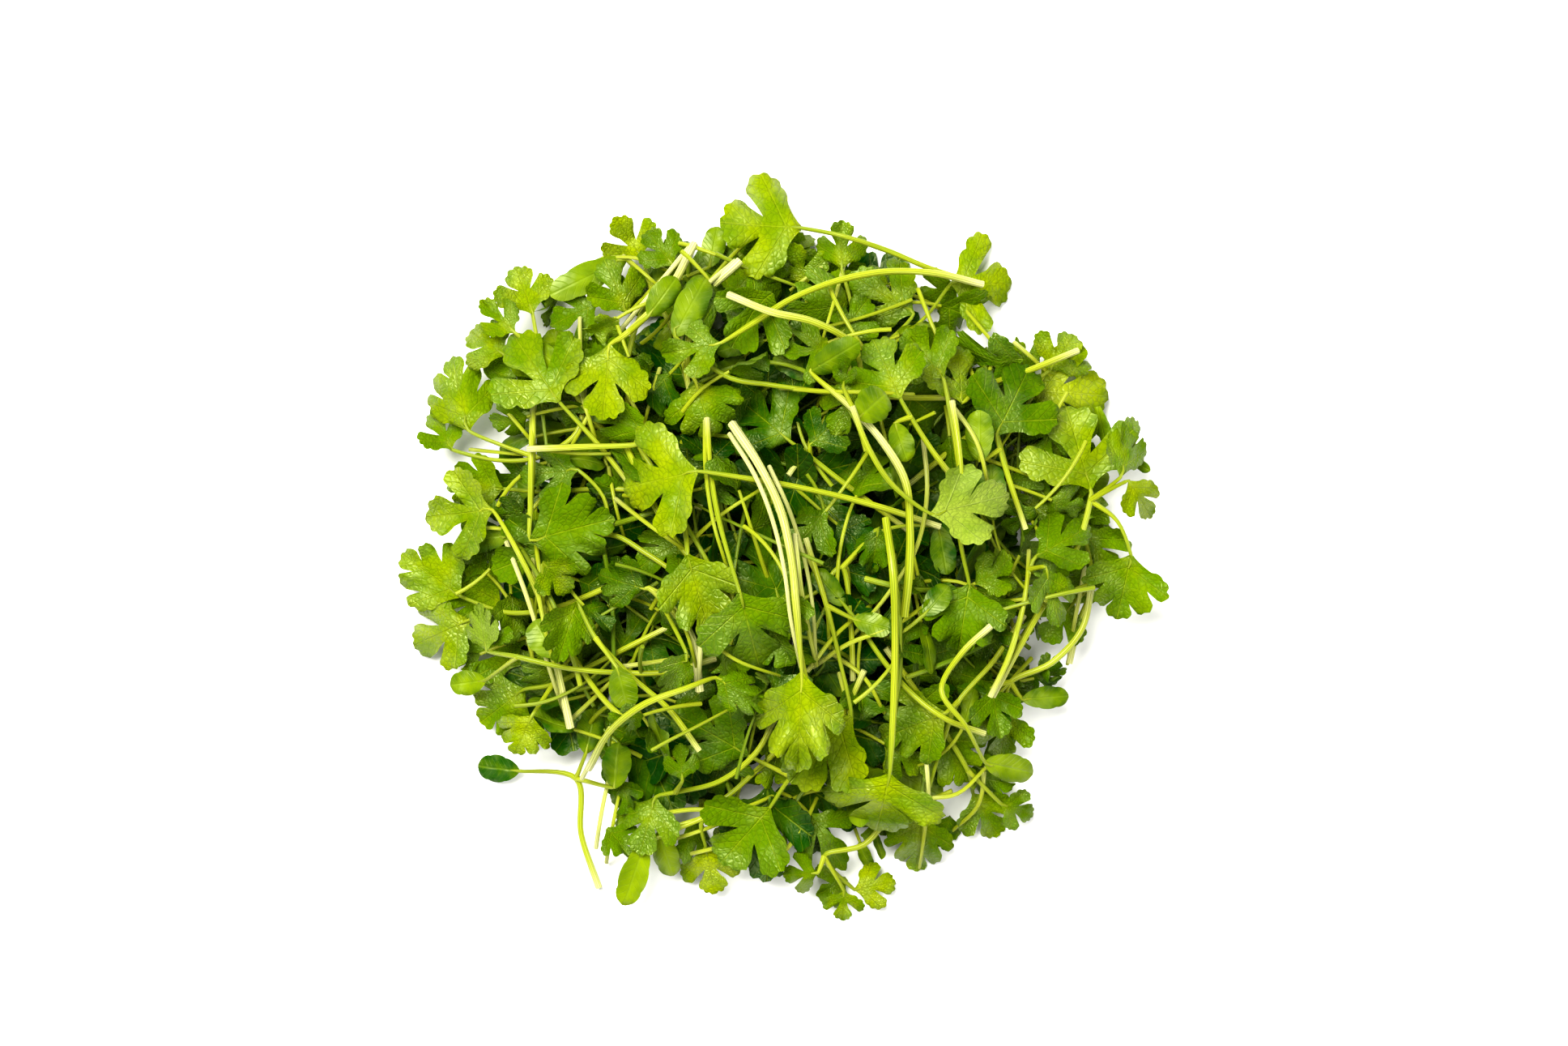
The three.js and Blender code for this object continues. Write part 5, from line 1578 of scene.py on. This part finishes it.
# How far a loose leaf stays under the sprigs over it and under the surface, and the heights that it tries
ROOF_GAP = 0.9
SURFACE_GAP = 0.8
DROP = 0.8
DROP_COUNT = 7
DROP_COST = 0.012
FLOOR_GAP = 0.6


def best_height(points, cells):
    """Height for a leaf, as high as what lies over it leaves room and where it meets little else"""
    z = points[:, 2]
    room = np.quantile(roof[cells] - ROOF_GAP - z, 0.05)
    level = min(room, (surface[cells] - z).mean() - SURFACE_GAP)
    lowest = FLOOR_GAP - np.quantile(z, 0.2)
    trials = []
    for drops in range(DROP_COUNT):
        height = max(level - DROP * drops, lowest)
        trials.append((taken[cubes_of(points + (0, 0, height))].mean() + DROP_COST * drops, height))
    return min(trials)[1]


loose = np.zeros_like(laid)


def lay_loose(seed_kind, base, tip, wide, tone):
    """A leaf at its place in the photo, turned on its side to look narrow, with a stalk into the heap"""
    base, tip = np.array(base) - middle, np.array(tip) - middle
    rise, roll = rng.normal(0.05, 0.22), math.acos(min(wide, 1)) * (1 if rng.random() < 0.5 else -1)
    heading = math.atan2(tip[1] - base[1], tip[0] - base[0])
    directions = leaf_frame(heading, rise, roll + rng.normal(0, 0.16))
    long = math.dist(base, tip) / math.cos(rise) * 1.04
    outline = any_of(fine_seed if seed_kind else fine_lobed)
    leaf = LooseLeaf(outline, long, 1, directions, rng.normal(0, 0.28), rng.uniform(-0.05, 0.28))
    leaf.base[:2] = base
    relief = relief_of(outline, long, 0.4 if seed_kind else 1.0)
    cells = cells_under(leaf.points(relief))
    leaf.base[2] = best_height(leaf.points(relief), cells)
    points = leaf.points(relief)
    plant = fill_plant(*points.mean(0)[:2], False)
    leaf.add_to(plant, points, relief, varied(tone), seed_kind)
    stalk = leaf.stalk(rng.uniform(12, 26), rng.uniform(0.04, 0.09))
    if len(stalk) > 3:
        radii = STALK_SLIM * np.linspace(0.25, 0.5, len(stalk)) ** 0.5
        add_stalk(plant, stalk, radii, 8, 0.2 + 0.3 * tone)
    np.maximum.at(loose, cells, points[:, 2] + 0.2)


for leaf in LOOSE_LEAVES:
    lay_loose(False, *leaf)
for leaf in LOOSE_SEED_LEAVES:
    lay_loose(True, *leaf)
laid = np.maximum(laid, widened(loose, 2, np.max))

# Bare stems: how thin they are beside the solids' stems, how deep they lie and how far their ends dip
BARE_START = 0.86
BARE_END = 0.76
BARE_STEP = 1.5
BARE_SUNK = 0.2
END_DIP = 6
END_LENGTH = 4.5
BARE_LOWEST = 0.7
LEAST_MOUND = 0.85
STEMS_IN_PIECE = 13


def evened(values, count):
    """Means over an odd count of neighbours, with the end values repeated past both ends"""
    return np.convolve(np.pad(values, count // 2, "edge"), np.full(count, 1 / count), "valid")


def drape(points, thick):
    """A stem sunk a little among what it crosses, with both ends bent down into the heap"""
    start, end = BARE_START * CROWN_RADIUS * thick, BARE_END * STALK_RADIUS * thick
    curve = smooth_path(rings_along(points, 0, len(points) - 1, start, end), BARE_STEP)
    x, y = curve[:, :2].T
    below = np.maximum(laid[cell_of(x), cell_of(y)], LEAST_MOUND * mound_at(x, y))
    far = distances(curve[:, :2])
    ends = np.exp(-far / END_LENGTH) + np.exp(-(far[-1] - far) / END_LENGTH)
    level = evened(evened(below, 11), 9)
    curve[:, 2] = np.maximum(level - BARE_SUNK - END_DIP * ends, BARE_LOWEST)
    np.maximum.at(laid, (cell_of(x), cell_of(y)), curve[:, 2] + curve[:, 3])
    return curve


def cut_tone(pale, cut, count):
    """Paleness along a bare stem, more at its cut start"""
    return np.clip(pale + cut * np.exp(-np.arange(count) / 3), 0, 1)


for first in range(0, len(BARE_STEMS), STEMS_IN_PIECE):
    plant = Plant("bare_stems_" + str(first // STEMS_IN_PIECE + 1))
    for thick, pale, points in BARE_STEMS[first : first + STEMS_IN_PIECE]:
        curve = drape(points, thick)
        tone = cut_tone(pale, 0.35, len(curve))
        plant.tube(curve[:, :3] - (*middle, 0), curve[:, 3], STEM_SIDES, tone, STEM_RIDGE)
    note_plant(plant)
    plant.build(materials, "upper_sprigs")

# Seeded leaves and stems between and under the others: how many at most, in how many tries
LOW_LEAVES = 130
FILL_LEAVES = 470
LEAF_TRIES = 9000
FILL_STEMS = 14
STEM_TRIES = 6000

# Seeded leaves: how many are seed leaves, how long each kind is, how they turn and how far they reach
SEED_SHARE = 0.16
SEED_LONG = (9, 13)
LOBED_LONG = (10, 17)
OUTWARD_FROM = 42
LOW_TILT = 0.3
FILL_LOWEST = 0.3
FILL_REACH = 67

# What share of a leaf, its stalk or a stem may lie in taken space: more for the lowest leaves
LEAF_OVERLAP = {True: 0.2, False: 0.08}
STALK_OVERLAP = {True: 0.6, False: 0.3}
STEM_OVERLAP = 0.12

# How far leaves and stems stay under the sprigs over them, and how far down they belong to the low pieces
LEAF_MARGIN = 1
STEM_MARGIN = 0.5
LOW_LEAF = 9
LOW_STEM = 4

# Wandering stems: how far out they start and reach, their steps, and how they dive at their far end
WANDER_START = 52
WANDER_REACH = 60
WANDER_STEP = 2
WANDER_COUNT = (14, 36)
WANDER_SWERVE = 0.045
WANDER_WOBBLE = 0.03
WANDER_LOWEST = 1.2
DIVE = 8
DIVE_SHARE = 0.2

surface, roof = note_surface()


def emptiest_spot():
    """The plan spot with the least leaf over it, of a few random ones inside the heap"""
    spots = rng.uniform(-60, 60, (6, 2))
    spots = spots[np.hypot(*spots.T) < 59]
    spots = spots[[surface_at(*spot) > 5 for spot in spots]]
    return spots[cover[squares_of(spots)].argmin()] if len(spots) else None


def fill_tone_with_painted_shade(away, depth):
    """Tone of a seeded leaf: lighter towards the edge of the heap and a little towards its surface, darker
    in its middle and depths, as painted shade
    """
    tone = (0.08 + 0.14 * min(away / 40, 1)) * rng.random() + 0.42 * min(max(away - 36, 0) / 16, 1)
    return tone + (0.02 + 0.14 * (1 - depth)) * min(0.3 + away / 36, 1)


def seeded_leaf(x, y, z, seed_kind, tilt):
    """A leaf around a point, which heads outward near the edge of the heap and any way further in"""
    outward = math.hypot(x, y) > OUTWARD_FROM
    heading = math.atan2(y, x) + rng.normal(0, 0.8) if outward else TURN * rng.random()
    directions = leaf_frame(heading, tilt * rng.normal(0.1, 0.5), tilt * rng.normal(0, 0.6))
    long = rng.uniform(*SEED_LONG if seed_kind else LOBED_LONG)
    wide = rng.uniform(0.85, 1.1)
    outline = any_of(fine_seed if seed_kind else plain_lobed)
    leaf = LooseLeaf(outline, long, wide, directions, rng.normal(0, 0.3), rng.uniform(-0.05, 0.3))
    leaf.base = np.array([x, y, z]) - 0.5 * long * leaf.along
    return leaf


def fill_leaf(lowest):
    """Tries to place a leaf with its stalk under the laid sprigs, and says whether it did"""
    spot = emptiest_spot()
    if spot is None:
        return False
    x, y = spot
    top = surface_at(x, y)
    # the lowest leaves count as deepest, which also gives them the darkest painted shade
    depth = 1 if lowest else rng.random()
    z = rng.uniform(1.5, 6) if lowest else top - 3 - (top - 5) * depth
    seed_kind = rng.random() < SEED_SHARE
    leaf = seeded_leaf(x, y, z, seed_kind, LOW_TILT if lowest else 1)
    points = leaf.points(np.zeros(len(leaf.outline.u)))
    inside = points[:, 2].min() >= FILL_LOWEST and np.hypot(*points[:, :2].T).max() <= FILL_REACH
    if not (inside and under_roof(points, LEAF_MARGIN) and within_reach(points)):
        return False
    if taken[cubes_of(points)].mean() > LEAF_OVERLAP[lowest]:
        return False
    stalk = leaf.stalk(rng.uniform(14, 34), rng.uniform(0.02, 0.06))
    if len(stalk) < 4 or taken[cubes_of(stalk[3:])].mean() > STALK_OVERLAP[lowest]:
        return False
    plant = fill_plant(x, y, top - z > LOW_LEAF)
    tone = fill_tone_with_painted_shade(math.hypot(x, y), depth)
    relief = relief_of(leaf.outline, leaf.long, 0.3 if seed_kind else 1.0)
    leaf.add_to(plant, points, relief, tone, seed_kind)
    radii = STALK_SLIM * np.linspace(0.2, 0.52, len(stalk)) ** 0.5 * rng.uniform(0.8, 1.05)
    # the stalk is darker the deeper it lies: painted shade
    add_stalk(plant, stalk, radii, 6, 0.1 + 0.3 * rng.random() * (1 - depth))
    return True


def wandering_path():
    """Points of a stem that wanders under the heap's surface and dips at its end, and how deep it lies"""
    turn, away = TURN * rng.random(), WANDER_START * rng.random() ** 0.6
    x, y = away * math.cos(turn), away * math.sin(turn)
    heading, swerve = TURN * rng.random(), rng.normal(0, WANDER_SWERVE)
    steps = rng.integers(*WANDER_COUNT)
    depth, sway = rng.uniform(1, 10), rng.uniform(0, 2.5)
    phase = TURN * rng.random()
    path = []
    for k in range(steps + 1):
        share = k / steps
        sunk = depth + sway * math.sin(phase + 4 * share)
        sunk += DIVE * max(0, share - (1 - DIVE_SHARE)) / DIVE_SHARE
        path.append((x, y, max(surface_at(x, y) - sunk, WANDER_LOWEST)))
        heading += swerve + rng.normal(0, WANDER_WOBBLE)
        x, y = x + WANDER_STEP * math.cos(heading), y + WANDER_STEP * math.sin(heading)
    return np.array(path), depth


def fill_stem():
    """Tries to place a bare stem under the laid sprigs, and says whether it did"""
    path, depth = wandering_path()
    if np.hypot(*path[:, :2].T).max() > WANDER_REACH or taken[cubes_of(path)].mean() > STEM_OVERLAP:
        return False
    if not (under_roof(path, STEM_MARGIN) and within_reach(path)):
        return False
    path[1:-1, 2] = 0.25 * path[:-2, 2] + 0.5 * path[1:-1, 2] + 0.25 * path[2:, 2]
    plant = fill_plant(*path[0, :2], depth > LOW_STEM)
    thick = rng.uniform(0.42, 0.6) * np.linspace(1.1, 0.85, len(path[::2]))
    # darker the deeper the stem lies: painted shade
    pale = 0.3 + 0.3 * rng.random() ** 2 - 0.03 * depth
    curve = smooth_path(np.concatenate([path[::2], thick[:, None]], 1), 1.6)
    plant.tube(curve[:, :3], curve[:, 3], 8, cut_tone(pale, 0.2, len(curve)), 0.04)
    taken[cubes_of(curve[:, :3])] = True
    return True


placed = 0
for _ in range(LEAF_TRIES):
    if placed < FILL_LEAVES:
        placed += fill_leaf(placed < LOW_LEAVES)
placed = 0
for _ in range(STEM_TRIES):
    if placed < FILL_STEMS:
        placed += fill_stem()
for plant, slot in fill.values():
    plant.build(materials, slot)

# Stage: the floor just under the heap, and the camera over the middle of the photo, looking straight down
FLOOR_WIDE = 6
FLOOR_HEIGHT = -0.0005
LENS = 110
SENSOR = 36
FOCUS_HEIGHT = 20

# Millimetres a pixel, the photo's size, and the pixel that the plan's distances are measured from
PIXEL = 0.15
PHOTO_WIDE = 1936
PHOTO_HIGH = 1291
ZERO_RIGHT = 960
ZERO_DOWN = 680

bpy.ops.mesh.primitive_plane_add(size=FLOOR_WIDE, location=(0, 0, FLOOR_HEIGHT))
floor = bpy.context.object
floor.name = "floor"
floor.data.materials.append(floor_material())

camera_data = bpy.data.cameras.new("camera")
camera_data.lens = LENS
camera_data.sensor_width = SENSOR
camera = bpy.data.objects.new("camera", camera_data)
right = PIXEL * (PHOTO_WIDE / 2 - ZERO_RIGHT) - middle[0]
forward = PIXEL * (ZERO_DOWN - PHOTO_HIGH / 2) - middle[1]
up = PHOTO_WIDE * PIXEL * LENS / SENSOR + FOCUS_HEIGHT
camera.location = (right * MM, forward * MM, up * MM)
bpy.context.scene.collection.objects.link(camera)
bpy.context.scene.camera = camera


def area_light(name, place, size, power, colour):
    data = bpy.data.lights.new(name, "AREA")
    data.shape = "DISK"
    data.size = size
    data.energy = power
    data.color = colour
    light = bpy.data.objects.new(name, data)
    light.location = place
    light.rotation_euler = (-Vector(place)).to_track_quat("-Z", "Y").to_euler()
    bpy.context.scene.collection.objects.link(light)


area_light("key", (-0.4, 0.5, 1.3), 0.9, 51, (1, 0.98, 0.9))
area_light("fill", (0.5, -0.4, 1.2), 1.0, 11, (1, 0.99, 0.95))

world = bpy.data.worlds.new("world")
bpy.context.scene.world = world
world.use_nodes = True
sky = world.node_tree.nodes["Background"]
sky.inputs["Color"].default_value = (1, 1, 1, 1)
sky.inputs["Strength"].default_value = 0.25

view = bpy.context.scene.view_settings
view.view_transform = "Standard"
view.look = "Medium High Contrast"
view.exposure = 0.0
